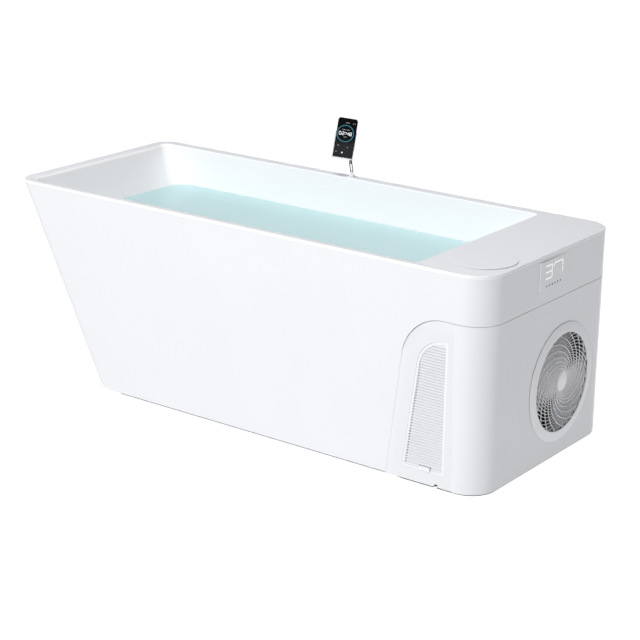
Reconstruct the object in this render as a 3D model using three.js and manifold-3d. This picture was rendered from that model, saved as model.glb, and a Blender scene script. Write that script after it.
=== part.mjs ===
// A cold plunge tub: a deep acrylic basin with a leaning head end, and at the other end a bay that holds
// its own chiller, pump and filter behind a pull-off cover.
// Millimetres, +Z up. X runs along the tub, from the leaning head (-X) to the equipment end (+X),
// and -Y is the front. The origin is on the ground, under the middle of the tub.
import * as THREE from 'three';
import { mergeVertices } from 'three/addons/utils/BufferGeometryUtils.js';
import Module from 'manifold-3d';

const wasm = await Module();
wasm.setup();

// Overall sizes
const LENGTH = 1940;
const WIDTH = 790;
const HEIGHT = 705;
const HEAD_RUN = 350; // how far the head wall leans out between the ground and the rim
const END_CORNER_R = 96;
const HEAD_CORNER_R = 60;
const FLOOR_GAP = 8; // the skirt stops this far above the ground
const TOE_R = 22; // rounding where the head wall meets its lower edge
const FIT = 0.3; // gap between pieces that touch

// Skirt, rim, deck and basin
const WALL = 6; // skirt and lower cover
const RIM = 42;
const RIM_THICK = 11;
const RIM_EDGE_R = 9;
const RIM_INNER_R = 6;
const BAY = 266; // deck length, from the basin's edge to the end face
const BASIN_WALL = 6;
const BASIN_FLOOR = 85; // height of the basin's inside floor
const BASIN_LEAN = 80; // how far the end wall leans into the basin by the floor
const BASIN_DRAFT = 22; // how far each side wall leans in by the floor
const BASIN_TOP_R = 18; // upright corners at the equipment end, by the rim
const BASIN_HEAD_R = 36; // the same at the head end
const BASIN_OPEN_R = 72; // the head corners have opened out this far ...
const BASIN_OPEN_DROP = 0.23; // ... by this share of the basin's depth
const BASIN_LOW_R = 90; // all four, by the floor
const BASIN_FILLET = 60;

// Base, feet and insulation
const FOOT_R = 35;
const FOOT_H = 12;
const FOOT_INSET = 75;
const PAN_H = 20;
const FOAM_BOARD = 22;
const FOAM_MARGIN = 30;
const FOAM_END = 110; // the side boards stop this far short of the cover's seam

// Lower cover of the equipment end
const UPPER_BAND = 158; // from the rim down to the seam on the end face
const COVER_FOOT = 346; // from the end face to the seam, at the ground
const COVER_SHOULDER = 299; // the same where the arch starts
const ARCH_R = 150;
const SEAM = 3;
const COVER_GAP = 4; // the cover stops this far above the ground
const NOTCH_X = 158; // from the end face to the notch in the lower edge
const NOTCH_W = 18;
const NOTCH_H = 9;
const FIELD_X = 102; // from the end face to the step beside the vent
const FIELD_DEPTH = 3;
const FIELD_TOP = 60; // the step ends this far below the seam

// Louvred vents in both sides of the cover
const VENT_RIGHT = 140; // from the end face to the louvres' upright edge
const VENT_FOOT = 278;
const VENT_SHOULDER = 236;
const VENT_BOTTOM = 54;
const VENT_DROP = 75; // from the seam down to the top of the louvres
const VENT_R = 92;
const VENT_FRAME = 8;
const VENT_PLATE = 5;
const VENT_GAP = 0.5;
const VENT_INSET = 1.5; // the panel lies this far below the field round it
const SLOT_PITCH = 18.8;
const SLOT_H = 11;
const SLOT_END = 5;
const TAB_X = 202; // from the end face to the pull tab
const TAB_W = 40;
const TAB_H = 12;
const TAB_OUT = 2;
const AIR_FILTER = 4;

// Fan behind the round grille in the end face
const BEZEL_R = 198;
const BEZEL_W = 35;
const BEZEL_PROUD = 7; // how far the ring and the grille stand out of the end face
const BEZEL_EDGE = 3.5; // slope of the ring's outer edge
const BEZEL_DEPTH = 19; // from the end face to the back of the ring
const BEZEL_LIP = 4;
const BEZEL_THICK = 5;
const BEZEL_ASIDE = 16; // from the tub's round corner to the ring's lip
const FAN_SIDES = 40; // straight sides that a round edge is drawn with
const FAN_Z = 253;
const GRILLE_THICK = 12;
const GRILLE_HUB_R = 34;
const GRILLE_RIBS = 21;
const GRILLE_RINGS = 4;
const RIB_W = 3.2;
const RIB_TWIST = 1.5; // radians that a rib turns each time its radius grows by the factor e
const ROTOR_GAP = 22;
const ROTOR_DEPTH = 34;
const ROTOR_TIP = 5; // running gap at the blade tips
const ROTOR_HUB_R = 38;
const BLADES = 5;
const BLADE_CHORD = 78;
const BLADE_PITCH = 24;
const BLADE_THICK = 3;
const SHAFT_R = 5;
const MOTOR_R = 44;
const MOTOR_H = 24;
const BRACKET_THICK = 3;
const BRACKET_W = 34;
const SHROUD_WALL = 3;
const SHROUD_EDGE = 28; // the shroud's plate stops this far inside the bezel's outer edge
const SHROUD_GAP = 6; // from the ring's back to the shroud

// Chiller in the bay
const TRAY_THICK = 3;
const TRAY_LIP = 12;
const TRAY_DEPTH = 236; // from the end face to the tray's far edge
const TRAY_EDGE = 12; // clearance from the tray to the cover
const COIL_THICK = 40;
const COIL_FINS = 16;
const FIN_DEPTH = 6;
const COMP_R = 66;
const COMP_H = 250;
const COMP_PLATE = 4;
const GROMMET_R = 13;
const GROMMET_H = 14;
const LINE_R = 5;
const LINE_OUT = 28; // how far a copper line stands off before it turns
const STUB = 12;
const EXCHANGER_R = 48;
const EXCHANGER_BELOW = 85; // from the return fitting's height down to the exchanger's top
const EXCHANGER_RISE = 46; // from the pump's outlet to the exchanger

// Pump, filter, fittings and hoses
const PUMP_R = 50;
const PUMP_BACK = 200; // from the end face to the pump's inlet face
const VOLUTE_L = 40;
const VOLUTE_WALL = 5;
const PUMP_MOTOR_R = 42;
const PUMP_MOTOR_L = 104;
const PUMP_FOOT = 12;
const SERVICE_GAP = 13; // free space between the pump and the cover's wall
const IMPELLER_R = 36;
const IMPELLER_H = 16;
const HOSE_R = 18;
const HOSE_BORE = 14;
const HOSE_BEND = 48;
const HOSE_RISE = 74; // from the compressor's top to the middle of the suction hose
const CAP_R = 106;
const CAP_X = 124; // from the end face to the middle of the filter cap
const CAP_SIDE = 67; // from the front face to the cap's edge
const CAP_PROUD = 4;
const CAP_THICK = 2.6;
const CAP_PLUG = 18;
const GASKET_W = 8;
const HOUSING_STEP = 15; // the filter housing's wall stands this far inside the cap's edge
const HOUSING_WALL = 4;
const HOUSING_FLANGE = 9;
const CARTRIDGE_GAP = 12;
const PLEATS = 36;
const PLEAT_DEPTH = 9;
const CARTRIDGE_BORE = 26;
const FITTING_R = 34;
const FITTING_PROUD = 5;
const NECK_R = 21;
const NECK_L = 42;
const RETURN_ABOVE = 80; // from the filter's outlet up to the return fitting
const OUTLET_RISE = 6;
const RETURN_Y = 236;
const DRAIN_Y = -20;
const DRAIN_INSET = 46;
const DRAIN_Z = 60;
const DRAIN_R = 13;
const VALVE_R = 20;
const VALVE_L = 58;
const VALVE_X = 282; // from the end face to the drain valve's middle
const LEVER_L = 64;
const LEVER_W = 14;
const LEVER_THICK = 4;

// Controls
const PANEL_W = 186;
const PANEL_H = 104;
const PANEL_THICK = 4;
const PANEL_BELOW_RIM = 71; // from the rim to the middle of the display
const BOARD_THICK = 4;
const BOARD_MARGIN = 14;
const BOX_L = 160;
const BOX_W = 220;
const BOX_H = 104;
const BOX_X = 128; // from the end face to the middle of the control box
const BOX_GAP = 8; // from the return hose to the control box
const INLET_X = 62; // from the cover's seam to the middle of the power inlet
const INLET_Z = 92;
const INLET_W = 48;
const INLET_H = 28;
const INLET_DEPTH = 34;
const LEAD_DROP = 14; // how far the lead hangs under the control box
const LEAD_R = 4.5;

// Handset holder on the rear rim
const HOLDER_X = -72;
const HOLDER_BACK = 23; // from the rear face to the holder's middle
const HOLDER_TURN = 36; // degrees about +Z, so that the screen faces the bather's side
const HOLDER_W = 20;
const HOLDER_D = 22;
const HOLDER_H = 9;
const EAR_THICK = 4;
const EAR_R = 6;
const PIN_R = 2.2;
const PIVOT_H = 15;
const ARM_L = 40;
const ARM_LEAN = -8; // degrees, clockwise seen from the screen's side
const ARM_W = 11;
const ARM_SLOT = 5;
const ARM_THICK = 6;
const HANDSET_W = 70;
const HANDSET_H = 143;
const HANDSET_THICK = 8;
const HANDSET_R = 9;
const HANDSET_ROLL = 8.3;
const HANDSET_TILT = 4;
const CRADLE_WALL = 2;
const CRADLE_H = 96;
const CRADLE_LIP = 2.5;
const SLIDE_GAP = 0.5;

// Places that follow from the sizes above
const END = LENGTH / 2;
const SIDE = WIDTH / 2;
const DECK_Z = HEIGHT - RIM_THICK;
const RIM_SIDE_Z = HEIGHT - RIM_EDGE_R;
const COVER_TOP = HEIGHT - UPPER_BAND;
const VENT_TOP = COVER_TOP - VENT_DROP;
const PAN_TOP = FOOT_H + PAN_H;
const TRAY_TOP = PAN_TOP + FIT + TRAY_THICK;
const BASIN_X = END - BAY;
const FAN_Y = SIDE - END_CORNER_R - BEZEL_ASIDE - BEZEL_LIP - BEZEL_R;
const GRILLE_R = BEZEL_R - BEZEL_W;
const ROTOR_R = GRILLE_R - ROTOR_TIP - SHROUD_WALL;
const ROTOR_FRONT = BEZEL_DEPTH + ROTOR_GAP;
const MOTOR_FRONT = ROTOR_FRONT + ROTOR_DEPTH + 2;
const BRACKET_FRONT = MOTOR_FRONT + MOTOR_H + FIT;
const SHROUD_BACK = BRACKET_FRONT - FIT;
const COIL_FRONT = BRACKET_FRONT + BRACKET_THICK + FIT;
const SHROUD_HALF = BEZEL_R - SHROUD_EDGE;
const PUMP_Y = SIDE - WALL - SERVICE_GAP - PUMP_R;
const PUMP_Z = TRAY_TOP + PUMP_FOOT + PUMP_R;
const PUMP_PORT_Z = PUMP_Z + PUMP_R + STUB;
const EXCHANGER_Z = PUMP_PORT_Z + EXCHANGER_RISE;
const COMP_Z = TRAY_TOP + GROMMET_H;
const SUCTION_Z = COMP_Z + COMP_H + HOSE_RISE;
const CAP_Y = CAP_SIDE + CAP_R - SIDE;
const HOUSING_R = CAP_R - HOUSING_STEP;
const HOUSING_Z = SUCTION_Z + HOSE_BEND + STUB;
const OUTLET_Z = HOUSING_Z + HOUSING_WALL + OUTLET_RISE + HOSE_R;
const RETURN_Z = OUTLET_Z + RETURN_ABOVE;
const EXCHANGER_H = RETURN_Z - EXCHANGER_BELOW - EXCHANGER_Z;
const COMP_Y = (FAN_Y - SHROUD_HALF - SIDE + WALL + TRAY_EDGE) / 2;
const BOX_Y = RETURN_Y - HOSE_R - BOX_GAP - BOX_W / 2;
const PANEL_Z = HEIGHT - PANEL_BELOW_RIM;

// Finishes
const finish = (color, roughness, metalness) => new THREE.MeshStandardMaterial({ color, roughness,
  metalness });
const acrylicWhite = () => finish(0xf4f5f7, 0.25, 0);
const plasticWhite = () => finish(0xe6e7ea, 0.4, 0);
const plasticGrey = () => finish(0x8b8e93, 0.5, 0);
const plasticBlack = () => finish(0x1d1e20, 0.5, 0);
const rubberBlack = () => finish(0x1a1a1a, 0.9, 0);
const steelGrey = () => finish(0xa7abb0, 0.4, 0.9);
const blackPaint = () => finish(0x202226, 0.45, 0.3);
const copperTube = () => finish(0xb5693c, 0.35, 0.95);
const finAluminium = () => finish(0xc7cacd, 0.45, 0.9);
const foamBoard = () => finish(0xd8d2c0, 0.95, 0);
const paperPleat = () => finish(0xeef1f4, 0.9, 0);
const glassBlack = () => finish(0x08090b, 0.1, 0);

// A closed body with one vertex at each place, no empty triangles, and its faces pointing out
function closedBody(geometry) {
  const bare = new THREE.BufferGeometry();
  bare.setAttribute('position', geometry.getAttribute('position').clone());
  if (geometry.index) bare.setIndex(geometry.index.clone());
  const merged = mergeVertices(bare, 1e-3);
  const index = Array.from(merged.index.array);
  const place = merged.getAttribute('position');
  const [a, b, c] = [new THREE.Vector3(), new THREE.Vector3(), new THREE.Vector3()];
  const triangles = [];
  let volume = 0;
  for (let i = 0; i < index.length; i += 3) {
    const [p, q, r] = index.slice(i, i + 3);
    if (p === q || q === r || r === p) continue;
    a.fromBufferAttribute(place, p);
    b.fromBufferAttribute(place, q);
    c.fromBufferAttribute(place, r);
    volume += a.dot(b.cross(c));
    triangles.push([p, q, r]);
  }
  const out = volume < 0 ? triangles.map(([p, q, r]) => [p, r, q]) : triangles;
  merged.setIndex(out.flat());
  return merged;
}

function solid(geometry) {
  const body = closedBody(geometry);
  return new wasm.Manifold(new wasm.Mesh({
    numProp: 3,
    vertProperties: new Float32Array(body.getAttribute('position').array),
    triVerts: new Uint32Array(body.index.array),
  }));
}

function geometryOf(manifold) {
  const mesh = manifold.getMesh();
  const geometry = new THREE.BufferGeometry();
  geometry.setAttribute('position', new THREE.BufferAttribute(new Float32Array(mesh.vertProperties), 3));
  geometry.setIndex(Array.from(mesh.triVerts));
  return geometry;
}

const join = (...shapes) => geometryOf(shapes.map(solid).reduce((whole, next) => whole.add(next)));
const cut = (shape, ...tools) => geometryOf(tools.map(solid).reduce((left, tool) => left.subtract(tool),
  solid(shape)));
const overlap = (shape, other) => geometryOf(solid(shape).intersect(solid(other)));

// A skin through rings that have equally many points, closed by flat ends
function loft(rings) {
  const count = rings[0].length;
  const places = rings.flat().flatMap((p) => [p.x, p.y, p.z]);
  const index = [];
  for (let k = 0; k + 1 < rings.length; k++) {
    for (let i = 0; i < count; i++) {
      const j = (i + 1) % count;
      const [a, b] = [k * count + i, k * count + j];
      index.push(a, b, b + count, a, b + count, a + count);
    }
  }
  const last = (rings.length - 1) * count;
  const flat = (ring) => ring.map((p) => new THREE.Vector2(p.x, p.y));
  for (const [a, b, c] of THREE.ShapeUtils.triangulateShape(flat(rings[0]), [])) index.push(c, b, a);
  for (const [a, b, c] of THREE.ShapeUtils.triangulateShape(flat(rings.at(-1)), [])) {
    index.push(last + a, last + b, last + c);
  }
  const geometry = new THREE.BufferGeometry();
  geometry.setAttribute('position', new THREE.Float32BufferAttribute(places, 3));
  geometry.setIndex(index);
  return geometry;
}

// A level ring with rounded corners, drawn counter-clockwise from the rear corner at the end
function ring(headX, endX, side, z, headR, endR) {
  const corners = [
    [endX - endR, side - endR, endR, 0],
    [headX + headR, side - headR, headR, 90],
    [headX + headR, headR - side, headR, 180],
    [endX - endR, endR - side, endR, 270],
  ];
  const steps = 6;
  return corners.flatMap(([x, y, r, start]) => Array.from({ length: steps + 1 }, (_, i) => {
    const angle = THREE.MathUtils.degToRad(start + 90 * i / steps);
    return new THREE.Vector3(x + r * Math.cos(angle), y + r * Math.sin(angle), z);
  }));
}

// Prisms whose outline lies in the XZ, YZ or XY plane
function prismY(shape, fromY, toY, curveSegments = 8) {
  const geometry = new THREE.ExtrudeGeometry(shape, { depth: toY - fromY, bevelEnabled: false,
    curveSegments });
  return geometry.rotateX(Math.PI / 2).translate(0, toY, 0);
}

function prismX(shape, fromX, toX, curveSegments = 8) {
  const geometry = new THREE.ExtrudeGeometry(shape, { depth: toX - fromX, bevelEnabled: false,
    curveSegments });
  const turn = new THREE.Matrix4().makeBasis(
    new THREE.Vector3(0, 1, 0), new THREE.Vector3(0, 0, 1), new THREE.Vector3(1, 0, 0));
  return geometry.applyMatrix4(turn).translate(fromX, 0, 0);
}

function prismZ(shape, fromZ, toZ, curveSegments = 8) {
  const geometry = new THREE.ExtrudeGeometry(shape, { depth: toZ - fromZ, bevelEnabled: false,
    curveSegments });
  return geometry.translate(0, 0, fromZ);
}

function outline(points) {
  return new THREE.Shape(points.map(([a, b]) => new THREE.Vector2(a, b)));
}

function rectangle(a0, a1, b0, b1) {
  return outline([[a0, b0], [a1, b0], [a1, b1], [a0, b1]]);
}

function block(x0, x1, y0, y1, z0, z1) {
  return new THREE.BoxGeometry(x1 - x0, y1 - y0, z1 - z0)
    .translate((x0 + x1) / 2, (y0 + y1) / 2, (z0 + z1) / 2);
}

// Turned bodies from a profile of [radius, distance along the axis]
function turnedZ(profile, segments = 24) {
  const points = profile.map(([r, h]) => new THREE.Vector2(r, h));
  return new THREE.LatheGeometry(points, segments).rotateX(Math.PI / 2);
}

const turnedX = (profile, segments = 24) => turnedZ(profile, segments).rotateY(Math.PI / 2);
const turnedY = (profile, segments = 24) => turnedZ(profile, segments).rotateX(-Math.PI / 2);
const rod = (r, from, to) => [[0, from], [r, from], [r, to], [0, to]];
const tube = (inner, outer, from, to) => [[inner, from], [outer, from], [outer, to], [inner, to], [inner,
  from]];

// A round tube along straight runs with rounded bends; a bore of 0 leaves it solid
function bentTube(points, radius, bore, bend, sides = 8, steps = 12) {
  const path = new THREE.CurvePath();
  const corners = points.map(([x, y, z]) => new THREE.Vector3(x, y, z));
  let from = corners[0];
  for (let i = 1; i + 1 < corners.length; i++) {
    const [before, corner, after] = corners.slice(i - 1, i + 2);
    const reach = Math.min(bend, corner.distanceTo(before) * 0.48, corner.distanceTo(after) * 0.48);
    const enter = corner.clone().add(before.clone().sub(corner).setLength(reach));
    const leave = corner.clone().add(after.clone().sub(corner).setLength(reach));
    path.add(new THREE.LineCurve3(from, enter));
    path.add(new THREE.QuadraticBezierCurve3(enter, corner, leave));
    from = leave;
  }
  path.add(new THREE.LineCurve3(from, corners.at(-1)));
  const circle = (r) => Array.from({ length: sides }, (_, i) => {
    const angle = 2 * Math.PI * i / sides;
    return new THREE.Vector2(r * Math.cos(angle), r * Math.sin(angle));
  });
  const section = new THREE.Shape(circle(radius));
  if (bore > 0) section.holes.push(new THREE.Path(circle(bore).reverse()));
  return new THREE.ExtrudeGeometry(section, { extrudePath: path, steps, bevelEnabled: false });
}

const tub = new THREE.Group();

function piece(name, geometry, material, parent = tub) {
  const mesh = new THREE.Mesh(closedBody(geometry), material);
  mesh.name = name;
  parent.add(mesh);
  return mesh;
}

// Outer surface: the head wall leans, the other walls stand upright
function headX(z) {
  return -END + (RIM_SIDE_Z - z) * HEAD_RUN / (RIM_SIDE_Z - FLOOR_GAP);
}

function tubRing(z, inset, toe = 0) {
  return ring(headX(z) + inset + toe, END - inset, SIDE - inset, z, HEAD_CORNER_R - inset,
    END_CORNER_R - inset);
}

// Basin surfaces: grow is 0 inside and the wall's thickness outside
function basinRing(z, grow, inset = 0) {
  const drop = (HEIGHT - z) / (HEIGHT - BASIN_FLOOR);
  const share = Math.min(Math.max(drop, 0), 1);
  const endR = BASIN_TOP_R + (BASIN_LOW_R - BASIN_TOP_R) * share;
  const headR = share < BASIN_OPEN_DROP
    ? BASIN_HEAD_R + (BASIN_OPEN_R - BASIN_HEAD_R) * share / BASIN_OPEN_DROP
    : BASIN_OPEN_R + (BASIN_LOW_R - BASIN_OPEN_R) * (share - BASIN_OPEN_DROP) / (1 - BASIN_OPEN_DROP);
  return ring(headX(z) + RIM - grow + inset, BASIN_X - BASIN_LEAN * drop + grow - inset,
    SIDE - RIM - BASIN_DRAFT * drop + grow - inset, z, headR + grow - inset, endR + grow - inset);
}

function basinSkin(grow, topRings) {
  const steps = 4;
  const fillet = BASIN_FILLET + grow;
  const low = Array.from({ length: steps + 1 }, (_, i) => {
    const angle = i / steps * Math.PI / 2;
    const z = BASIN_FLOOR - grow + fillet * (1 - Math.cos(angle));
    return basinRing(z, grow, fillet * (1 - Math.sin(angle)));
  });
  const open = basinRing(HEIGHT - BASIN_OPEN_DROP * (HEIGHT - BASIN_FLOOR), grow);
  return loft([...low, open, ...topRings]);
}

// Rounded shoulder: pairs of rise and inset, from the upright side to the flat top
function shoulder(r, steps = 3) {
  return Array.from({ length: steps + 1 }, (_, i) => {
    const angle = i / steps * Math.PI / 2;
    return [r * Math.sin(angle), r * (1 - Math.cos(angle))];
  });
}

// The basin's end wall carries the fittings: its lean, and a place on its outer face at height z
const wallLean = Math.atan(BASIN_LEAN / (HEIGHT - BASIN_FLOOR));
const wallOut = new THREE.Vector3(Math.cos(wallLean), 0, -Math.sin(wallLean));

function wallPlace(y, z) {
  return new THREE.Vector3(BASIN_X - BASIN_LEAN * (HEIGHT - z) / (HEIGHT - BASIN_FLOOR), y, z);
}

// Turned about X, then set square to the end wall with its zero on the wall's inner face
function onEndWall(geometry, y, z) {
  const place = wallPlace(y, z);
  return geometry.rotateY(wallLean).translate(place.x, place.y, place.z);
}

function neckEnd(y, z, beyond) {
  const place = wallPlace(y, z).addScaledVector(wallOut, BASIN_WALL + NECK_L + beyond);
  return [place.x, place.y, place.z];
}

// Basin, rim and deck in one moulding
const floorFlat = {
  head: headX(BASIN_FLOOR) + RIM + BASIN_FILLET,
  end: BASIN_X - BASIN_LEAN - BASIN_FILLET,
  side: SIDE - RIM - BASIN_DRAFT - BASIN_FILLET,
};
const drainX = floorFlat.end - DRAIN_INSET;

function basinShell() {
  const top = loft([
    tubRing(DECK_Z, 0),
    ...shoulder(RIM_EDGE_R).map(([rise, inset]) => ring(-END + inset, END - inset, SIDE - inset,
      RIM_SIDE_Z + rise, HEAD_CORNER_R - inset, END_CORNER_R - inset)),
  ]);
  const outside = basinSkin(BASIN_WALL, [basinRing(DECK_Z + RIM_THICK / 2, BASIN_WALL)]);
  const flare = shoulder(RIM_INNER_R).map(([rise, inset]) => basinRing(HEIGHT - RIM_INNER_R + rise, inset));
  const inside = basinSkin(0, [...flare, basinRing(HEIGHT + RIM_THICK, RIM_INNER_R)]);
  const capHole = turnedZ(rod(HOUSING_R - HOUSING_WALL, DECK_Z - 1, HEIGHT + 1), 28)
    .translate(END - CAP_X, CAP_Y, 0);
  const through = rod(NECK_R + FIT, -BASIN_WALL, 3 * BASIN_WALL);
  const drainHole = turnedZ(rod(NECK_R + FIT, BASIN_FLOOR - 3 * BASIN_WALL, BASIN_FLOOR + BASIN_WALL), 20)
    .translate(drainX, DRAIN_Y, 0);
  return cut(join(top, outside), inside, capHole, drainHole,
    onEndWall(turnedX(through, 20), CAP_Y, SUCTION_Z), onEndWall(turnedX(through, 20), RETURN_Y, RETURN_Z));
}
piece('basin_shell', basinShell(), acrylicWhite());

// Lower cover's outline on the side of the tub, drawn in by a gap
function archShape(gap) {
  const shape = new THREE.Shape();
  const rise = COVER_TOP - ARCH_R;
  const slope = (COVER_FOOT - COVER_SHOULDER) / rise;
  const below = 20;
  shape.moveTo(END - COVER_FOOT - below * slope + gap, -below);
  shape.lineTo(END - COVER_SHOULDER + gap, rise);
  shape.absarc(END - COVER_SHOULDER + ARCH_R, rise, ARCH_R - gap, Math.PI, Math.PI / 2, true);
  shape.lineTo(END + below, COVER_TOP - gap);
  shape.lineTo(END + below, -below);
  return shape;
}

// Skirt all round, open at the equipment end below the seam
function skirt() {
  const toes = shoulder(TOE_R).map(([rise, inset]) => tubRing(FLOOR_GAP + TOE_R - rise, 0,
    inset / 2)).reverse();
  const top = DECK_Z - FIT;
  const outside = loft([...toes, tubRing(top, 0)]);
  const inside = loft([tubRing(-FLOOR_GAP, WALL, TOE_R / 2), tubRing(FLOOR_GAP + TOE_R, WALL),
    tubRing(HEIGHT, WALL)]);
  const opening = prismY(archShape(0), -WIDTH, WIDTH, 10);
  const half = { w: PANEL_W / 2 + FIT, h: PANEL_H / 2 + FIT };
  const panelHole = block(END - 4 * WALL, END + 1, -half.w, half.w, PANEL_Z - half.h, PANEL_Z + half.h);
  const inletX = END - COVER_FOOT - INLET_X;
  const inletHole = block(inletX - INLET_W / 2 - FIT, inletX + INLET_W / 2 + FIT, SIDE - 4 * WALL, SIDE + 1,
    INLET_Z - INLET_H / 2 - FIT, INLET_Z + INLET_H / 2 + FIT);
  return cut(outside, inside, opening, panelHole, inletHole);
}
piece('skirt', skirt(), acrylicWhite());

// Base pan on six rubber feet
function basePan() {
  const inset = WALL + FIT;
  return loft([tubRing(FOOT_H + FIT, inset, TOE_R / 2), tubRing(PAN_TOP, inset, TOE_R / 2)]);
}
piece('base_pan', basePan(), plasticGrey());

const footSpan = [headX(FOOT_H) + FOOT_INSET, END - FOOT_INSET];
for (let i = 0; i < 6; i++) {
  const along = footSpan[0] + (footSpan[1] - footSpan[0]) * Math.floor(i / 2) / 2;
  const across = (i % 2 ? 1 : -1) * (SIDE - FOOT_INSET - FOOT_R);
  const profile = [[0, 0], [FOOT_R - 3, 0], [FOOT_R, 3], [FOOT_R - 5, FOOT_H], [0, FOOT_H]];
  piece(`foot_${i + 1}`, turnedZ(profile, 12), rubberBlack()).position.set(along, across, 0);
}

// Insulation: a slab under the basin's floor and boards inside the skirt
const slabEnd = drainX - FITTING_R - FOAM_MARGIN;
piece('foam_floor', block(floorFlat.head, slabEnd, -floorFlat.side, floorFlat.side, PAN_TOP + FIT,
  BASIN_FLOOR - BASIN_WALL - FIT), foamBoard());

const boardLow = PAN_TOP + FOAM_MARGIN;
const boardHigh = DECK_Z - FOAM_MARGIN;
for (const [name, direction] of [['foam_front', -1], ['foam_rear', 1]]) {
  const endX = END - COVER_FOOT - FOAM_END;
  const shape = outline([[headX(boardLow) + 2 * FOAM_MARGIN, boardLow], [endX, boardLow], [endX, boardHigh],
    [headX(boardHigh) + 2 * FOAM_MARGIN, boardHigh]]);
  const outer = SIDE - WALL - FIT;
  const [near, far] = direction < 0 ? [-outer, FOAM_BOARD - outer] : [outer - FOAM_BOARD, outer];
  piece(name, prismY(shape, near, far), foamBoard());
}

function foamHead() {
  const gap = WALL + FIT;
  const shape = outline([[headX(boardLow) + gap, boardLow], [headX(boardLow) + gap + FOAM_BOARD, boardLow],
    [headX(boardHigh) + gap + FOAM_BOARD, boardHigh], [headX(boardHigh) + gap, boardHigh]]);
  const reach = SIDE - RIM - FOAM_MARGIN;
  return prismY(shape, -reach, reach);
}
piece('foam_head', foamHead(), foamBoard());

// Lower cover: a wrap-round shell with the fan's hole, two vents and a shallow field round each vent
const ventCorner = END - VENT_SHOULDER + VENT_R;

function ventShape(grow) {
  const shape = new THREE.Shape();
  const rise = VENT_TOP - VENT_R;
  shape.moveTo(END - VENT_RIGHT + grow, VENT_BOTTOM - grow);
  shape.lineTo(END - VENT_RIGHT + grow, VENT_TOP + grow);
  shape.lineTo(ventCorner, VENT_TOP + grow);
  shape.absarc(ventCorner, rise, VENT_R + grow, Math.PI / 2, Math.PI, false);
  shape.lineTo(END - VENT_FOOT - grow, VENT_BOTTOM - grow);
  return shape;
}

function lowerCover() {
  const outside = overlap(loft([tubRing(COVER_GAP, 0), tubRing(COVER_TOP, 0)]),
    prismY(archShape(SEAM), -WIDTH, WIDTH, 10));
  const inside = loft([tubRing(-FLOOR_GAP, WALL), tubRing(HEIGHT, WALL)]);
  const fanHole = turnedX(rod(BEZEL_R + FIT, -4 * WALL, WALL), FAN_SIDES).translate(END, FAN_Y, FAN_Z);
  const vents = prismY(ventShape(VENT_FRAME), -WIDTH, WIDTH, 8);
  const fieldTop = COVER_TOP - FIELD_TOP;
  const field = outline([[0, -FLOOR_GAP], [END - FIELD_X, -FLOOR_GAP], [END - FIELD_X, fieldTop],
    [END - FIELD_X - FIELD_TOP, COVER_TOP + FIELD_TOP / 2], [0, COVER_TOP + FIELD_TOP / 2]]);
  const fields = [prismY(field, -WIDTH, FIELD_DEPTH - SIDE), prismY(field, SIDE - FIELD_DEPTH, WIDTH)];
  const notch = outline([[END - NOTCH_X - NOTCH_W / 2, 0], [END - NOTCH_X + NOTCH_W / 2, 0],
    [END - NOTCH_X + NOTCH_W / 4, COVER_GAP + NOTCH_H], [END - NOTCH_X - NOTCH_W / 4, COVER_GAP + NOTCH_H]]);
  return cut(outside, inside, fanHole, vents, ...fields, prismY(notch, -WIDTH, WIDTH));
}
piece('lower_cover', lowerCover(), acrylicWhite());

// Louvred vent panels, each with a pull tab and an air filter behind it
function slotLeft(z) {
  const rise = VENT_TOP - VENT_R;
  if (z > rise) return ventCorner - Math.sqrt(VENT_R ** 2 - (z - rise) ** 2);
  return END - VENT_SHOULDER - (VENT_FOOT - VENT_SHOULDER) * (rise - z) / (rise - VENT_BOTTOM);
}

function ventPanel(direction) {
  const shape = ventShape(VENT_FRAME - VENT_GAP);
  const tabTop = VENT_BOTTOM + TAB_H;
  for (let z = tabTop + SLOT_H; z + SLOT_H + SLOT_END < VENT_TOP; z += SLOT_PITCH) {
    const left = Math.max(slotLeft(z), slotLeft(z + SLOT_H)) + SLOT_END;
    const slot = rectangle(left, END - VENT_RIGHT - SLOT_END, z, z + SLOT_H);
    shape.holes.push(new THREE.Path(slot.getPoints().reverse()));
  }
  const face = SIDE - FIELD_DEPTH - VENT_INSET;
  const [near, far] = direction < 0 ? [-face, VENT_PLATE - face] : [face - VENT_PLATE, face];
  const [tabNear, tabFar] = direction < 0 ? [-face - TAB_OUT, -face + 1] : [face - 1, face + TAB_OUT];
  const tab = block(END - TAB_X - TAB_W / 2, END - TAB_X + TAB_W / 2, tabNear, tabFar, VENT_BOTTOM, tabTop);
  return join(prismY(shape, near, far), tab);
}

function airFilter(direction) {
  const face = SIDE - FIELD_DEPTH - VENT_INSET - VENT_PLATE - FIT;
  const [near, far] = direction < 0 ? [-face, AIR_FILTER - face] : [face - AIR_FILTER, face];
  return prismY(ventShape(0), near, far);
}

for (const [name, direction] of [['front', -1], ['rear', 1]]) {
  piece(`vent_panel_${name}`, ventPanel(direction), plasticWhite());
  piece(`air_filter_${name}`, airFilter(direction), plasticGrey());
}

// Fan: everything turns about one axis, drawn from the end face inwards
const fan = new THREE.Group();
fan.position.set(END, FAN_Y, FAN_Z);
tub.add(fan);
const inwards = (profile) => profile.map(([r, depth]) => [r, -depth]);

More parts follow.
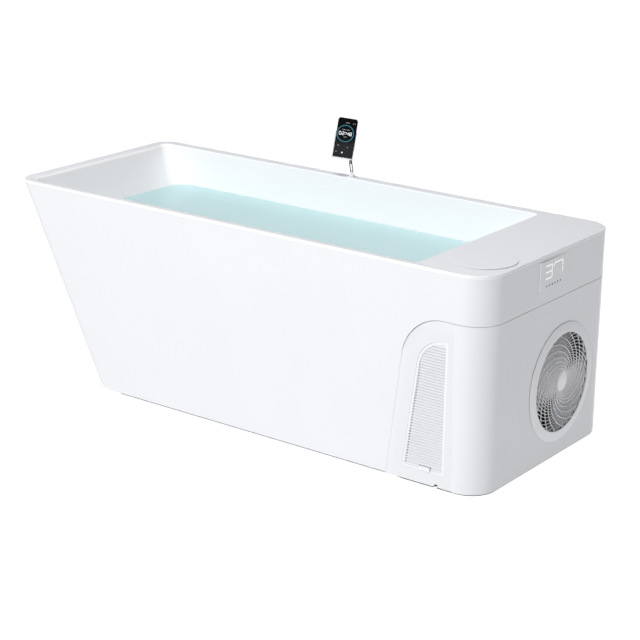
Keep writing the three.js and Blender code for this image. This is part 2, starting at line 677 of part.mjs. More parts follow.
function fanBezel() {
  const back = WALL + FIT;
  const bore = GRILLE_R / Math.cos(Math.PI / FAN_SIDES) + FIT;
  return turnedX(inwards([[BEZEL_R, BEZEL_EDGE - BEZEL_PROUD], [BEZEL_R, back], [BEZEL_R + BEZEL_LIP, back],
    [BEZEL_R + BEZEL_LIP, back + BEZEL_THICK], [bore, BEZEL_DEPTH], [bore, -BEZEL_PROUD],
    [BEZEL_R - 2 * BEZEL_EDGE, -BEZEL_PROUD], [BEZEL_R, BEZEL_EDGE - BEZEL_PROUD]]), FAN_SIDES);
}
piece('fan_bezel', fanBezel(), plasticWhite(), fan);

// Ribs are the bars left between holes; each hole lies between two rings and two ribs
function fanGrille() {
  const disc = new THREE.Shape();
  disc.absarc(0, 0, GRILLE_R, 0, 2 * Math.PI, false);
  const growth = ((GRILLE_R - RIB_W / 2) / GRILLE_HUB_R) ** (1 / GRILLE_RINGS);
  const place = (r, rib, shift) => {
    const angle = 2 * Math.PI * rib / GRILLE_RIBS + RIB_TWIST * Math.log(r / GRILLE_R) + shift / r;
    return new THREE.Vector2(r * Math.cos(angle), r * Math.sin(angle));
  };
  const half = RIB_W / 2 / Math.cos(Math.atan(RIB_TWIST));
  for (let k = 0; k < GRILLE_RINGS; k++) {
    const low = GRILLE_HUB_R * growth ** k + RIB_W / 2;
    const high = GRILLE_HUB_R * growth ** (k + 1) - RIB_W / 2;
    for (let rib = 0; rib < GRILLE_RIBS; rib++) {
      const corners = [place(low, rib, half), place(high, rib, half), place(high, rib + 1, -half),
        place(low, rib + 1, -half)];
      disc.holes.push(new THREE.Path(corners));
    }
  }
  return prismX(disc, BEZEL_PROUD - GRILLE_THICK, BEZEL_PROUD, FAN_SIDES / 2);
}
piece('fan_grille', fanGrille(), plasticWhite(), fan);

function fanRotor() {
  const middle = ROTOR_FRONT + ROTOR_DEPTH / 2;
  const back = ROTOR_FRONT + ROTOR_DEPTH;
  const hub = turnedX(inwards([[SHAFT_R + FIT, ROTOR_FRONT], [ROTOR_HUB_R - 8, ROTOR_FRONT],
    [ROTOR_HUB_R, ROTOR_FRONT + 8], [ROTOR_HUB_R, back], [SHAFT_R + FIT, back], [SHAFT_R + FIT,
    ROTOR_FRONT]]), 30);
  const blades = Array.from({ length: BLADES }, (_, i) => {
    const root = ROTOR_HUB_R - 4;
    const shape = new THREE.Shape();
    shape.moveTo(root, -BLADE_CHORD * 0.25);
    shape.quadraticCurveTo(ROTOR_R * 0.6, -BLADE_CHORD * 0.5, ROTOR_R * 0.94, -BLADE_CHORD * 0.5);
    shape.lineTo(ROTOR_R * 0.94, BLADE_CHORD * 0.4);
    shape.quadraticCurveTo(ROTOR_R * 0.6, BLADE_CHORD * 0.3, root, BLADE_CHORD * 0.25);
    const blade = new THREE.ExtrudeGeometry(shape, { depth: BLADE_THICK, bevelEnabled: false,
      curveSegments: 4 });
    blade.translate(0, 0, -BLADE_THICK / 2).rotateX(THREE.MathUtils.degToRad(BLADE_PITCH));
    const turn = new THREE.Matrix4().makeBasis(
      new THREE.Vector3(0, 1, 0), new THREE.Vector3(0, 0, 1), new THREE.Vector3(1, 0, 0));
    return blade.applyMatrix4(turn).rotateX(2 * Math.PI * i / BLADES).translate(-middle, 0, 0);
  });
  return join(hub, ...blades);
}
piece('fan_rotor', fanRotor(), plasticBlack(), fan);

function fanMotor() {
  const back = MOTOR_FRONT + MOTOR_H;
  return turnedX(inwards([[0, ROTOR_FRONT + 2], [SHAFT_R, ROTOR_FRONT + 2], [SHAFT_R, MOTOR_FRONT],
    [MOTOR_R - 6, MOTOR_FRONT], [MOTOR_R, MOTOR_FRONT + 6], [MOTOR_R, back], [0, back]]), 24);
}
piece('fan_motor', fanMotor(), blackPaint(), fan);

// The shroud's plate and the condenser stand on the tray, so their lower edges are at the tray's top
const trayFace = TRAY_TOP + FIT - FAN_Z;

function motorBracket() {
  const arm = BRACKET_W / 2;
  const bars = [rectangle(-SHROUD_HALF, SHROUD_HALF, -arm, arm), rectangle(-arm, arm, trayFace, SHROUD_HALF)];
  return join(...bars.map((bar) => prismX(bar, -BRACKET_FRONT - BRACKET_THICK, -BRACKET_FRONT)));
}
piece('motor_bracket', motorBracket(), steelGrey(), fan);

function fanShroud() {
  const bore = GRILLE_R - SHROUD_WALL;
  const plate = rectangle(-SHROUD_HALF, SHROUD_HALF, trayFace, SHROUD_HALF);
  const front = BEZEL_DEPTH + SHROUD_GAP;
  const ringWall = turnedX(inwards(tube(bore, GRILLE_R, front, SHROUD_BACK - 1)), 36);
  const hole = turnedX(rod(bore, -SHROUD_BACK - 1, -front), 36);
  return cut(join(prismX(plate, -SHROUD_BACK, SHROUD_WALL - SHROUD_BACK), ringWall), hole);
}
piece('fan_shroud', fanShroud(), plasticBlack(), fan);

// Condenser: a finned block, its fins cut along both faces
function condenser() {
  const low = -SHROUD_HALF;
  const pitch = 2 * SHROUD_HALF / COIL_FINS;
  const front = -COIL_FRONT;
  const back = front - COIL_THICK;
  const edge = (x, inward, from, step) => Array.from({ length: COIL_FINS }, (_, i) => {
    const y = from + step * i;
    return [[x, y], [x, y + step * 0.4], [x + inward, y + step * 0.45], [x + inward, y + step * 0.95]];
  }).flat();
  const shape = outline([...edge(front, -FIN_DEPTH, low, pitch), [front, SHROUD_HALF],
    ...edge(back, FIN_DEPTH, SHROUD_HALF, -pitch), [back, low]]);
  return prismZ(shape, trayFace, SHROUD_HALF);
}
piece('condenser_coil', condenser(), finAluminium(), fan);

// Drip tray under the chiller and the pump
function equipmentTray() {
  const edge = WALL + TRAY_EDGE;
  const trayRing = (z, inset) => ring(END - TRAY_DEPTH + inset, END - edge - inset, SIDE - edge - inset, z,
    HEAD_CORNER_R - inset, END_CORNER_R - edge - inset);
  const outside = loft([trayRing(PAN_TOP + FIT, 0), trayRing(TRAY_TOP + TRAY_LIP, 0)]);
  return cut(outside, loft([trayRing(TRAY_TOP, TRAY_THICK), trayRing(TRAY_TOP + 2 * TRAY_LIP, TRAY_THICK)]));
}
piece('equipment_tray', equipmentTray(), plasticGrey());

// Compressor on three rubber grommets, under the filter
const compressor = new THREE.Group();
compressor.position.set(END - CAP_X, COMP_Y, TRAY_TOP);
tub.add(compressor);
const grommetReach = COMP_R + GROMMET_R;

function compressorBody() {
  const dome = 34;
  const low = GROMMET_H + FIT;
  const can = turnedZ([[0, low + COMP_PLATE - 1], [COMP_R - 6, low + COMP_PLATE - 1], [COMP_R, low + 14],
    [COMP_R, low + COMP_H - dome], [COMP_R * 0.8, low + COMP_H - dome * 0.4], [COMP_R * 0.45,
    low + COMP_H - 5],
    [0, low + COMP_H]], 24);
  const stub = turnedZ(rod(LINE_R + 2, low + COMP_H - dome, low + COMP_H), 12).translate(-COMP_R * 0.55,
    0, 0);
  const corners = Array.from({ length: 3 }, (_, i) => 2 * Math.PI * i / 3);
  const foot = new THREE.Shape();
  foot.absarc(0, 0, COMP_R, 0, 2 * Math.PI, false);
  const ears = corners.map((angle) => prismZ(rectangle(0, grommetReach + GROMMET_R, -GROMMET_R,
    GROMMET_R), low,
    low + COMP_PLATE).rotateZ(angle));
  return join(can, stub, prismZ(foot, low, low + COMP_PLATE, 12), ...ears);
}
piece('compressor', compressorBody(), blackPaint(), compressor);
for (let i = 0; i < 3; i++) {
  const angle = 2 * Math.PI * i / 3;
  const profile = [[0, FIT], [GROMMET_R, FIT], [GROMMET_R - 3, GROMMET_H / 2], [GROMMET_R, GROMMET_H],
    [0, GROMMET_H]];
  const grommet = piece(`grommet_${i + 1}`, turnedZ(profile, 12), rubberBlack(), compressor);
  grommet.position.set(grommetReach * Math.cos(angle), grommetReach * Math.sin(angle), 0);
}

// Circulation pump at the rear of the bay: its axis runs along X
const pump = new THREE.Group();
pump.position.set(END - PUMP_BACK, PUMP_Y, PUMP_Z);
tub.add(pump);

function pumpVolute() {
  const inner = PUMP_R - VOLUTE_WALL;
  const cup = turnedX([[HOSE_BORE, -STUB], [HOSE_R, -STUB], [HOSE_R, 0], [PUMP_R, 0], [PUMP_R, VOLUTE_L],
    [inner, VOLUTE_L], [inner, VOLUTE_WALL], [HOSE_BORE, VOLUTE_WALL], [HOSE_BORE, -STUB]], 20);
  const outlet = turnedZ(rod(HOSE_R, inner - 1, PUMP_R + STUB), 20).translate(VOLUTE_L / 2, 0, 0);
  const bore = turnedZ(rod(HOSE_BORE, inner - 12, PUMP_R + 2 * STUB), 16).translate(VOLUTE_L / 2, 0, 0);
  return cut(join(cup, cut(outlet, turnedX(rod(inner, 0, VOLUTE_L), 20))), bore);
}
piece('pump_volute', pumpVolute(), plasticBlack(), pump);

const impellerBack = VOLUTE_L - 6;
function pumpImpeller() {
  const disc = turnedX(tube(SHAFT_R + FIT, IMPELLER_R, impellerBack - 4, impellerBack), 18);
  const hub = turnedX(tube(SHAFT_R + FIT, SHAFT_R + 5, impellerBack - IMPELLER_H, impellerBack - 3), 12);
  const vanes = Array.from({ length: 6 }, (_, i) => block(impellerBack - IMPELLER_H, impellerBack - 3,
    SHAFT_R + 3, IMPELLER_R - 2, -1.5, 1.5).rotateX(Math.PI * i / 3));
  return join(disc, hub, ...vanes);
}
piece('pump_impeller', pumpImpeller(), plasticGrey(), pump);

function pumpMotor() {
  const from = VOLUTE_L + FIT;
  const back = from + PUMP_MOTOR_L;
  const inner = PUMP_R - VOLUTE_WALL - FIT;
  const can = turnedX([[0, impellerBack - IMPELLER_H + 2], [SHAFT_R, impellerBack - IMPELLER_H + 2],
    [SHAFT_R, VOLUTE_L - 4], [inner, VOLUTE_L - 4], [inner, from], [PUMP_R, from], [PUMP_R, from + 6],
    [PUMP_MOTOR_R, from + 6], [PUMP_MOTOR_R, back - 8], [PUMP_MOTOR_R - 8, back], [0, back]], 20);
  const foot = block(from + 20, back - 20, -PUMP_MOTOR_R * 0.7, PUMP_MOTOR_R * 0.7, TRAY_TOP + FIT - PUMP_Z,
    -PUMP_MOTOR_R * 0.6);
  return join(can, foot);
}
piece('pump_motor', pumpMotor(), blackPaint(), pump);

// Heat exchanger above the pump's outlet, hung from the deck by a strap
const pumpOutX = END - PUMP_BACK + VOLUTE_L / 2;
const exchanger = new THREE.Group();
exchanger.position.set(pumpOutX, PUMP_Y, EXCHANGER_Z);
tub.add(exchanger);
const lineLow = 40;
const lineHigh = EXCHANGER_H - 40;

function heatExchanger() {
  const shell = turnedZ([[0, -STUB], [HOSE_R, -STUB], [HOSE_R, 0], [EXCHANGER_R - 8, 0], [EXCHANGER_R, 8],
    [EXCHANGER_R, EXCHANGER_H - 8], [EXCHANGER_R - 8, EXCHANGER_H], [HOSE_R, EXCHANGER_H],
    [HOSE_R, EXCHANGER_H + STUB], [0, EXCHANGER_H + STUB]], 18);
  const ports = [lineLow, lineHigh].map((z) => turnedY(rod(LINE_R + 2, -EXCHANGER_R - STUB,
    -EXCHANGER_R / 2), 12)
    .translate(0, 0, z));
  const strap = block(-14, 14, EXCHANGER_R - 8, EXCHANGER_R - 3, EXCHANGER_H - 60,
    DECK_Z - FIT - EXCHANGER_Z);
  return join(shell, ...ports, strap);
}
piece('heat_exchanger', heatExchanger(), plasticBlack(), exchanger);

// Filter housing hung under the deck, with the pleated cartridge on the cap
const filter = new THREE.Group();
filter.position.set(END - CAP_X, CAP_Y, 0);
tub.add(filter);
const housingTop = DECK_Z - FIT;
const housingBore = HOUSING_R - HOUSING_WALL;

function filterHousing() {
  const can = turnedZ([[HOSE_BORE, HOUSING_Z - STUB], [HOSE_R, HOUSING_Z - STUB], [HOSE_R, HOUSING_Z],
    [HOUSING_R, HOUSING_Z], [HOUSING_R, housingTop - 6], [HOUSING_R + HOUSING_FLANGE, housingTop - 6],
    [HOUSING_R + HOUSING_FLANGE, housingTop], [housingBore, housingTop], [housingBore,
    HOUSING_Z + HOUSING_WALL],
    [HOSE_BORE, HOUSING_Z + HOUSING_WALL], [HOSE_BORE, HOUSING_Z - STUB]], 28);
  const outlet = turnedX(rod(HOSE_R, -HOUSING_R - STUB, -housingBore + 4), 16).translate(0, 0, OUTLET_Z);
  const core = turnedZ(rod(housingBore, HOUSING_Z + HOUSING_WALL, housingTop), 28);
  const bore = turnedX(rod(HOSE_BORE, -HOUSING_R - 2 * STUB, 10 - housingBore), 16).translate(0, 0, OUTLET_Z);
  return cut(join(can, cut(outlet, core)), bore);
}
piece('filter_housing', filterHousing(), plasticGrey(), filter);

const cartridgeTop = HEIGHT - CAP_PLUG - FIT;
function filterCartridge() {
  const outer = housingBore - CARTRIDGE_GAP;
  const star = Array.from({ length: 2 * PLEATS }, (_, i) => {
    const angle = Math.PI * i / PLEATS;
    const r = i % 2 ? outer - PLEAT_DEPTH : outer;
    return [r * Math.cos(angle), r * Math.sin(angle)];
  });
  const shape = outline(star);
  const bore = new THREE.Path();
  bore.absarc(0, 0, CARTRIDGE_BORE, 0, 2 * Math.PI, true);
  shape.holes.push(bore);
  return prismZ(shape, HOUSING_Z + HOUSING_WALL + 2 * HOSE_R + CARTRIDGE_GAP, cartridgeTop, 8);
}
piece('filter_cartridge', filterCartridge(), paperPleat(), filter);

const plugR = housingBore - 2;
const gasketOuter = plugR + 4 + GASKET_W;
function filterCap() {
  const low = HEIGHT + FIT;
  const under = HEIGHT + CAP_PROUD - CAP_THICK;
  return turnedZ([[0, HEIGHT - CAP_PLUG], [plugR - 2, HEIGHT - CAP_PLUG], [plugR, HEIGHT - CAP_PLUG + 2],
    [plugR, under], [gasketOuter + 1, under], [gasketOuter + 1, low], [CAP_R, low], [CAP_R, under + 1],
    [CAP_R - 1.4, HEIGHT + CAP_PROUD], [0, HEIGHT + CAP_PROUD]], 40);
}
piece('filter_cap', filterCap(), acrylicWhite(), filter);
piece('cap_gasket', turnedZ(tube(plugR + 2, gasketOuter, HEIGHT + FIT,
  HEIGHT + CAP_PROUD - CAP_THICK - FIT), 28),
  rubberBlack(), filter);

// Suction and return fittings in the end wall, and the drain in the floor
function wallFitting(slots) {
  const bore = slots ? 0 : NECK_R - 6;
  const outer = BASIN_WALL + NECK_L;
  const flange = [[bore, -FITTING_PROUD], [FITTING_R - 4, -FITTING_PROUD], [FITTING_R, -FIT], [NECK_R, -FIT],
    [NECK_R, outer], [bore, outer]];
  return turnedX(slots ? flange : [...flange, flange[0]], 24);
}
for (const [name, y, z, slots] of [['suction_fitting', CAP_Y, SUCTION_Z, true],
  ['return_fitting', RETURN_Y, RETURN_Z, false]]) {
  const place = wallPlace(y, z);
  const fitting = piece(name, wallFitting(slots), plasticWhite());
  fitting.position.copy(place);
  fitting.rotation.y = wallLean;
}

function drainFitting() {
  const low = DRAIN_Z - DRAIN_R - 4;
  const body = turnedZ([[0, low], [NECK_R, low], [NECK_R, BASIN_FLOOR + FIT], [FITTING_R, BASIN_FLOOR + FIT],
    [FITTING_R - 4, BASIN_FLOOR + FITTING_PROUD], [NECK_R - 6, BASIN_FLOOR + FITTING_PROUD],
    [NECK_R - 8, BASIN_FLOOR - 4], [0, BASIN_FLOOR - 4]], 24);
  const side = turnedX(rod(DRAIN_R, 0, NECK_R + STUB), 16).translate(0, 0, DRAIN_Z);
  return join(body, side);
}
piece('drain_fitting', drainFitting(), plasticWhite()).position.set(drainX, DRAIN_Y, 0);

const valveX = END - VALVE_X;
piece('drain_pipe', turnedX(tube(DRAIN_R - 3, DRAIN_R, drainX + NECK_R + STUB + FIT,
  valveX - VALVE_L / 2 - FIT), 16),
  plasticGrey()).position.set(0, DRAIN_Y, DRAIN_Z);

// Ball valve on the drain, its lever across the pipe when shut
function drainValve() {
  const body = turnedX([[0, -VALVE_L / 2], [DRAIN_R + 3, -VALVE_L / 2], [DRAIN_R + 3, -VALVE_L / 4],
    [VALVE_R, -VALVE_L / 6], [VALVE_R, VALVE_L / 6], [DRAIN_R + 3, VALVE_L / 4], [DRAIN_R, VALVE_L / 2],
    [DRAIN_R, VALVE_L / 2 + STUB], [0, VALVE_L / 2 + STUB]], 20);
  return join(body, turnedZ(rod(SHAFT_R, 0, VALVE_R + LEVER_THICK + 3), 14));
}
piece('drain_valve', drainValve(), plasticBlack()).position.set(valveX, DRAIN_Y, DRAIN_Z);

function drainLever() {
  const low = VALVE_R + 2;
  const shape = new THREE.Shape();
  shape.absarc(0, 0, LEVER_W / 2 + 2, 0.7 * Math.PI, 2.3 * Math.PI, false);
  shape.lineTo(LEVER_W / 2, LEVER_L);
  shape.lineTo(-LEVER_W / 2, LEVER_L);
  const eye = new THREE.Path();
  eye.absarc(0, 0, SHAFT_R + FIT, 0, 2 * Math.PI, true);
  shape.holes.push(eye);
  return prismZ(shape, low, low + LEVER_THICK, 6);
}
piece('drain_lever', drainLever(), finish(0x2f6fb5, 0.5, 0)).position.set(valveX, DRAIN_Y, DRAIN_Z);

// Hoses of the water circuit
const filterX = END - CAP_X;
piece('suction_hose', bentTube([neckEnd(CAP_Y, SUCTION_Z, FIT), neckEnd(CAP_Y, SUCTION_Z, 20),
  [filterX, CAP_Y, SUCTION_Z - 16], [filterX, CAP_Y, HOUSING_Z - STUB - FIT]], HOSE_R, HOSE_BORE, HOSE_BEND),
rubberBlack());

const hoseX = filterX - HOUSING_R - STUB;
const turnX = hoseX - HOSE_BEND * 0.55;
piece('filter_hose', bentTube([[hoseX - FIT, CAP_Y, OUTLET_Z], [turnX, CAP_Y, OUTLET_Z], [turnX, PUMP_Y,
  OUTLET_Z],
  [turnX, PUMP_Y, PUMP_Z], [END - PUMP_BACK - STUB - FIT, PUMP_Y, PUMP_Z]], HOSE_R, HOSE_BORE, HOSE_BEND,
  8, 26),
rubberBlack());

piece('pump_riser', turnedZ(tube(HOSE_BORE, HOSE_R, PUMP_PORT_Z + FIT, EXCHANGER_Z - STUB - FIT), 16),
  rubberBlack()).position.set(pumpOutX, PUMP_Y, 0);

const exchangerTop = EXCHANGER_Z + EXCHANGER_H + STUB;
const returnNeck = neckEnd(RETURN_Y, RETURN_Z, 26);
piece('return_hose', bentTube([neckEnd(RETURN_Y, RETURN_Z, FIT), returnNeck, [pumpOutX, PUMP_Y,
  returnNeck[2]],
  [pumpOutX, PUMP_Y, exchangerTop + FIT]], HOSE_R, HOSE_BORE, HOSE_BEND * 0.7), rubberBlack());

// Copper lines of the cooling circuit, behind the condenser
const coilX = END - COIL_FRONT - COIL_THICK / 2;
const coilSide = FAN_Y - SHROUD_HALF - FIT;
const coilLow = FAN_Z - SHROUD_HALF + LINE_OUT;
const coilHigh = FAN_Z + SHROUD_HALF - LINE_OUT;
const lineX = END - COIL_FRONT - COIL_THICK - LINE_OUT;
const lineY = coilSide - LINE_OUT;
const compTop = TRAY_TOP + GROMMET_H + FIT + COMP_H;
const compHigh = compTop + LINE_OUT;
const stubX = filterX - COMP_R * 0.55;
const portY = PUMP_Y - EXCHANGER_R - STUB - FIT;
const portOut = portY - LINE_OUT;
const [portLow, portHigh] = [EXCHANGER_Z + lineLow, EXCHANGER_Z + lineHigh];
piece('discharge_line', bentTube([[filterX, COMP_Y, compTop + FIT], [filterX, COMP_Y, compHigh],
  [filterX, lineY, compHigh], [coilX, lineY, coilHigh], [coilX, coilSide, coilHigh]], LINE_R, 0,
  LINE_OUT, 6, 16),
copperTube());
piece('liquid_line', bentTube([[coilX, coilSide, coilLow], [coilX, lineY, coilLow], [lineX, lineY, coilLow],
  [lineX, portOut, portLow], [pumpOutX, portOut, portLow], [pumpOutX, portY, portLow]], LINE_R, 0,
  LINE_OUT, 6, 20),
copperTube());
piece('suction_line', bentTube([[pumpOutX, portY, portHigh], [pumpOutX, portOut, portHigh], [lineX,
  portOut, portHigh],
  [lineX, COMP_Y + COMP_R, compHigh], [stubX, COMP_Y, compHigh], [stubX, COMP_Y, compTop + FIT]],
LINE_R, 0, LINE_OUT, 6, 20), copperTube());

// Display flush in the upper band of the end face, with its board behind
piece('display_panel', block(END - PANEL_THICK, END, -PANEL_W / 2, PANEL_W / 2, PANEL_Z - PANEL_H / 2,
  PANEL_Z + PANEL_H / 2), plasticWhite());
const boardX = END - PANEL_THICK - FIT;
piece('display_board', block(boardX - BOARD_THICK, boardX, BOARD_MARGIN - PANEL_W / 2,
  PANEL_W / 2 - BOARD_MARGIN,
  PANEL_Z - PANEL_H / 2 + BOARD_MARGIN, PANEL_Z + PANEL_H / 2 - BOARD_MARGIN), finish(0x1f5a3a, 0.6, 0));

// Control box hung under the deck, the flush power inlet in the rear skirt, and the lead between them
const boxLow = DECK_Z - FIT - BOX_H;
piece('control_box', block(END - BOX_X - BOX_L / 2, END - BOX_X + BOX_L / 2, BOX_Y - BOX_W / 2,
  BOX_Y + BOX_W / 2,
  boxLow, DECK_Z - FIT), plasticGrey());

const inletX = END - COVER_FOOT - INLET_X;
function powerInlet() {
  const back = SIDE - INLET_DEPTH;
  const inner = SIDE - WALL - FIT;
  const body = block(-INLET_W / 2, INLET_W / 2, back, SIDE, -INLET_H / 2, INLET_H / 2);
  const flange = block(-INLET_W / 2 - 8, INLET_W / 2 + 8, inner - 3, inner, -INLET_H / 2 - 5,
    INLET_H / 2 + 5);
  const socket = block(-INLET_W / 3, INLET_W / 3, SIDE - 16, SIDE + 1, -INLET_H / 3.4, INLET_H / 3.4);
  return cut(join(body, flange), socket);
}
piece('power_inlet', powerInlet(), plasticBlack()).position.set(inletX, 0, INLET_Z);

const leadY = SIDE - INLET_DEPTH / 2;
const inletSide = inletX + INLET_W / 2 + FIT;
const leadX = END - BOX_X - BOX_L / 2 + 24;
piece('power_lead', bentTube([[inletSide, leadY - 8, INLET_Z], [inletSide + 60, leadY - 8, INLET_Z],
  [END - BAY - 6, leadY - 8, boxLow - LEAD_DROP], [leadX, BOX_Y + BOX_W / 2 - 24, boxLow - LEAD_DROP],
  [leadX, BOX_Y + BOX_W / 2 - 24, boxLow - FIT]], LEAD_R, 0, 30, 6, 20), rubberBlack());

// Handset holder: a foot on the rear rim, a swinging arm, a cradle on the arm and the handset in it
const holder = new THREE.Group();
holder.position.set(HOLDER_X, SIDE - HOLDER_BACK, HEIGHT + FIT);
holder.rotation.z = THREE.MathUtils.degToRad(HOLDER_TURN);
tub.add(holder);

// An upright plate with round ends and a slot between its eyes, its lower eye at the origin
function link(length, width, slot, near, far, holes) {
  const shape = new THREE.Shape();
  shape.absarc(0, length, width / 2, 0, Math.PI, false);
  shape.absarc(0, 0, width / 2, Math.PI, 2 * Math.PI, false);
  for (const height of holes) {
    const eye = new THREE.Path();
    eye.absarc(0, height, PIN_R + FIT, 0, 2 * Math.PI, true);
    shape.holes.push(eye);
  }
  const window = new THREE.Path();
  window.absarc(0, length - width * 0.75, slot / 2, Math.PI, 0, true);
  window.absarc(0, width * 0.75, slot / 2, 0, -Math.PI, true);
  shape.holes.push(window);
  return prismY(shape, near, far, 8);
}

const earInner = ARM_THICK / 2 + FIT;
function holderBase() {
  const foot = new THREE.Shape();
  foot.absarc(0, 0, HOLDER_D / 2, 0, 2 * Math.PI, false);
  const ears = [-earInner - EAR_THICK, earInner].map((near) => prismY(outline([[-EAR_R, HOLDER_H - 2],
    [EAR_R, HOLDER_H - 2], [EAR_R, PIVOT_H + 2], [EAR_R / 2, PIVOT_H + EAR_R], [-EAR_R / 2, PIVOT_H + EAR_R],
    [-EAR_R, PIVOT_H + 2]]), near, near + EAR_THICK));
  const reach = earInner + EAR_THICK / 2;
  const pin = turnedY(rod(PIN_R, -reach, reach), 12).translate(0, 0, PIVOT_H);
  return join(prismZ(foot, 0, HOLDER_H - 1, 12), block(-HOLDER_W / 2 + 3, HOLDER_W / 2 - 3, -reach - 2,
    reach + 2, 2, HOLDER_H), ...ears, pin);
}
piece('holder_base', holderBase(), plasticWhite(), holder);

const arm = new THREE.Group();
arm.position.z = PIVOT_H;
arm.rotation.y = THREE.MathUtils.degToRad(ARM_LEAN);
holder.add(arm);
piece('holder_arm', link(ARM_L, ARM_W, ARM_SLOT, -ARM_THICK / 2, ARM_THICK / 2, [0, ARM_L]), steelGrey(),
  arm);

// The cradle's lug stands square to the arm's pivot; its tray is rolled and tilted with the handset
const lean = THREE.MathUtils.degToRad(ARM_LEAN);
const cradle = new THREE.Group();
cradle.position.set(ARM_L * Math.sin(lean), 0, PIVOT_H + ARM_L * Math.cos(lean));
cradle.rotation.y = THREE.MathUtils.degToRad(HANDSET_ROLL);
holder.add(cradle);
const tilt = THREE.MathUtils.degToRad(-HANDSET_TILT);
const traySeat = 9; // from the pivot up to the handset's lower edge
const trayRight = 3; // from the pivot to the handset's right edge

function cradleBody() {
  const lugNear = ARM_THICK / 2 + FIT;
  const lugShape = new THREE.Shape();
  lugShape.absarc(0, 0, ARM_W / 2, Math.PI, 2 * Math.PI, false);
  lugShape.lineTo(ARM_W / 2, traySeat - SLIDE_GAP - CRADLE_WALL / 2);
  lugShape.lineTo(-ARM_W / 2, traySeat - SLIDE_GAP - CRADLE_WALL / 2);
  const lug = prismY(lugShape, lugNear, lugNear + EAR_THICK);
  const pin = turnedY(rod(PIN_R, -ARM_THICK / 2, lugNear + 1), 12);
  const [left, right] = [trayRight - HANDSET_W, trayRight];
  const [front, back] = [-HANDSET_THICK - SLIDE_GAP, SLIDE_GAP];
  const edge = SLIDE_GAP + CRADLE_WALL;
  const plate = block(left - edge, right + edge, back, back + CRADLE_WALL, -edge, CRADLE_H);
  const shelf = block(left - edge, right + edge, front - CRADLE_WALL, back + CRADLE_WALL, -edge, -SLIDE_GAP);
  const lip = block(left - edge, right + edge, front - CRADLE_WALL, front, -edge, CRADLE_LIP);
  const walls = [[left - edge, left - SLIDE_GAP], [right + SLIDE_GAP, right + edge]]
    .map(([x0, x1]) => block(x0, x1, front - CRADLE_WALL, back + CRADLE_WALL, -edge, CRADLE_H / 3));
  const tray = [plate, shelf, lip, ...walls].map((part) => part.rotateX(tilt).translate(0, lugNear + 1,
    traySeat));
  return join(lug, pin, ...tray);
}
piece('cradle', cradleBody(), plasticWhite(), cradle);

function handsetBody() {
  const [left, right] = [trayRight - HANDSET_W, trayRight];
  const r = HANDSET_R;
  const shape = new THREE.Shape();
  shape.absarc(left + r, r, r, Math.PI, 1.5 * Math.PI, false);
  shape.absarc(right - r, r, r, 1.5 * Math.PI, 2 * Math.PI, false);
  shape.absarc(right - r, HANDSET_H - r, r, 0, 0.5 * Math.PI, false);
  shape.absarc(left + r, HANDSET_H - r, r, 0.5 * Math.PI, Math.PI, false);
  return prismY(shape, -HANDSET_THICK, 0, 5).rotateX(tilt).translate(0, ARM_THICK / 2 + FIT + 1, traySeat);
}
piece('handset', handsetBody(), glassBlack(), cradle);

// The fan's ring stands out of the end face: the tub moves back by half of that, so the origin is under its middle
tub.position.x = -BEZEL_PROUD / 2;

export default tub;
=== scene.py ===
import math

import bmesh
import bpy
import numpy as np
from mathutils import Matrix, Vector


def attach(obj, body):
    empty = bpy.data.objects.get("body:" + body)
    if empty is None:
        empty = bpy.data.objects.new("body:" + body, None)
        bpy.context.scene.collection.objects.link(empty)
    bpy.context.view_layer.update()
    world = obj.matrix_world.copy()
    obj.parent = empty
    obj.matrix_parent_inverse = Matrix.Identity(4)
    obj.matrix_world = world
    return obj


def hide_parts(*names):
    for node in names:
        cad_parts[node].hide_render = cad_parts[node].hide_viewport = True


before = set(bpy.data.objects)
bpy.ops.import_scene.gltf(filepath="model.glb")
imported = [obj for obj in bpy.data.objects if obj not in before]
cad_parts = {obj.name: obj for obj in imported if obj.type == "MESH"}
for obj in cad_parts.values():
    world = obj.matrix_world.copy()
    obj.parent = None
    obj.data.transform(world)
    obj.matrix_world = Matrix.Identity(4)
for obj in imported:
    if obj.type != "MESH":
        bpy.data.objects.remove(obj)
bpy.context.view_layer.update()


# Studio: a lit floor of opal acrylic with a painted shadow under the tub, where its glow is masked off, a large
# softbox in front, a strip above the basin and a pale backdrop in a dim room.
# The camera stands off the front corner of the equipment end, a little above the rim.
def linear(code):
    """An sRGB hex colour as the linear values that a shader takes."""
    parts = [int(code[i:i + 2], 16) / 255 for i in (0, 2, 4)]
    return tuple(p / 12.92 if p <= 0.04045 else ((p + 0.055) / 1.055) ** 2.4 for p in parts) + (1.0,)


def add(tree, kind, settings, links=()):
    """Adds a node, sets its sockets or properties by name, and links (socket, source) pairs into it."""
    made = tree.nodes.new(kind)
    for name, value in settings.items():
        if name in made.inputs:
            made.inputs[name].default_value = value
        else:
            setattr(made, name, value)
    for socket, source in links:
        tree.links.new(source, made.inputs[socket])
    return made


def finish_of(name, roughness, ior=1.5, metallic=0.0):
    """A new material with its shader set: returns the material, its nodes and the shader."""
    made = bpy.data.materials.new(name)
    made.use_nodes = True
    shader = made.node_tree.nodes["Principled BSDF"]
    shader.inputs["Roughness"].default_value = roughness
    shader.inputs["IOR"].default_value = ior
    shader.inputs["Metallic"].default_value = metallic
    return made, made.node_tree, shader


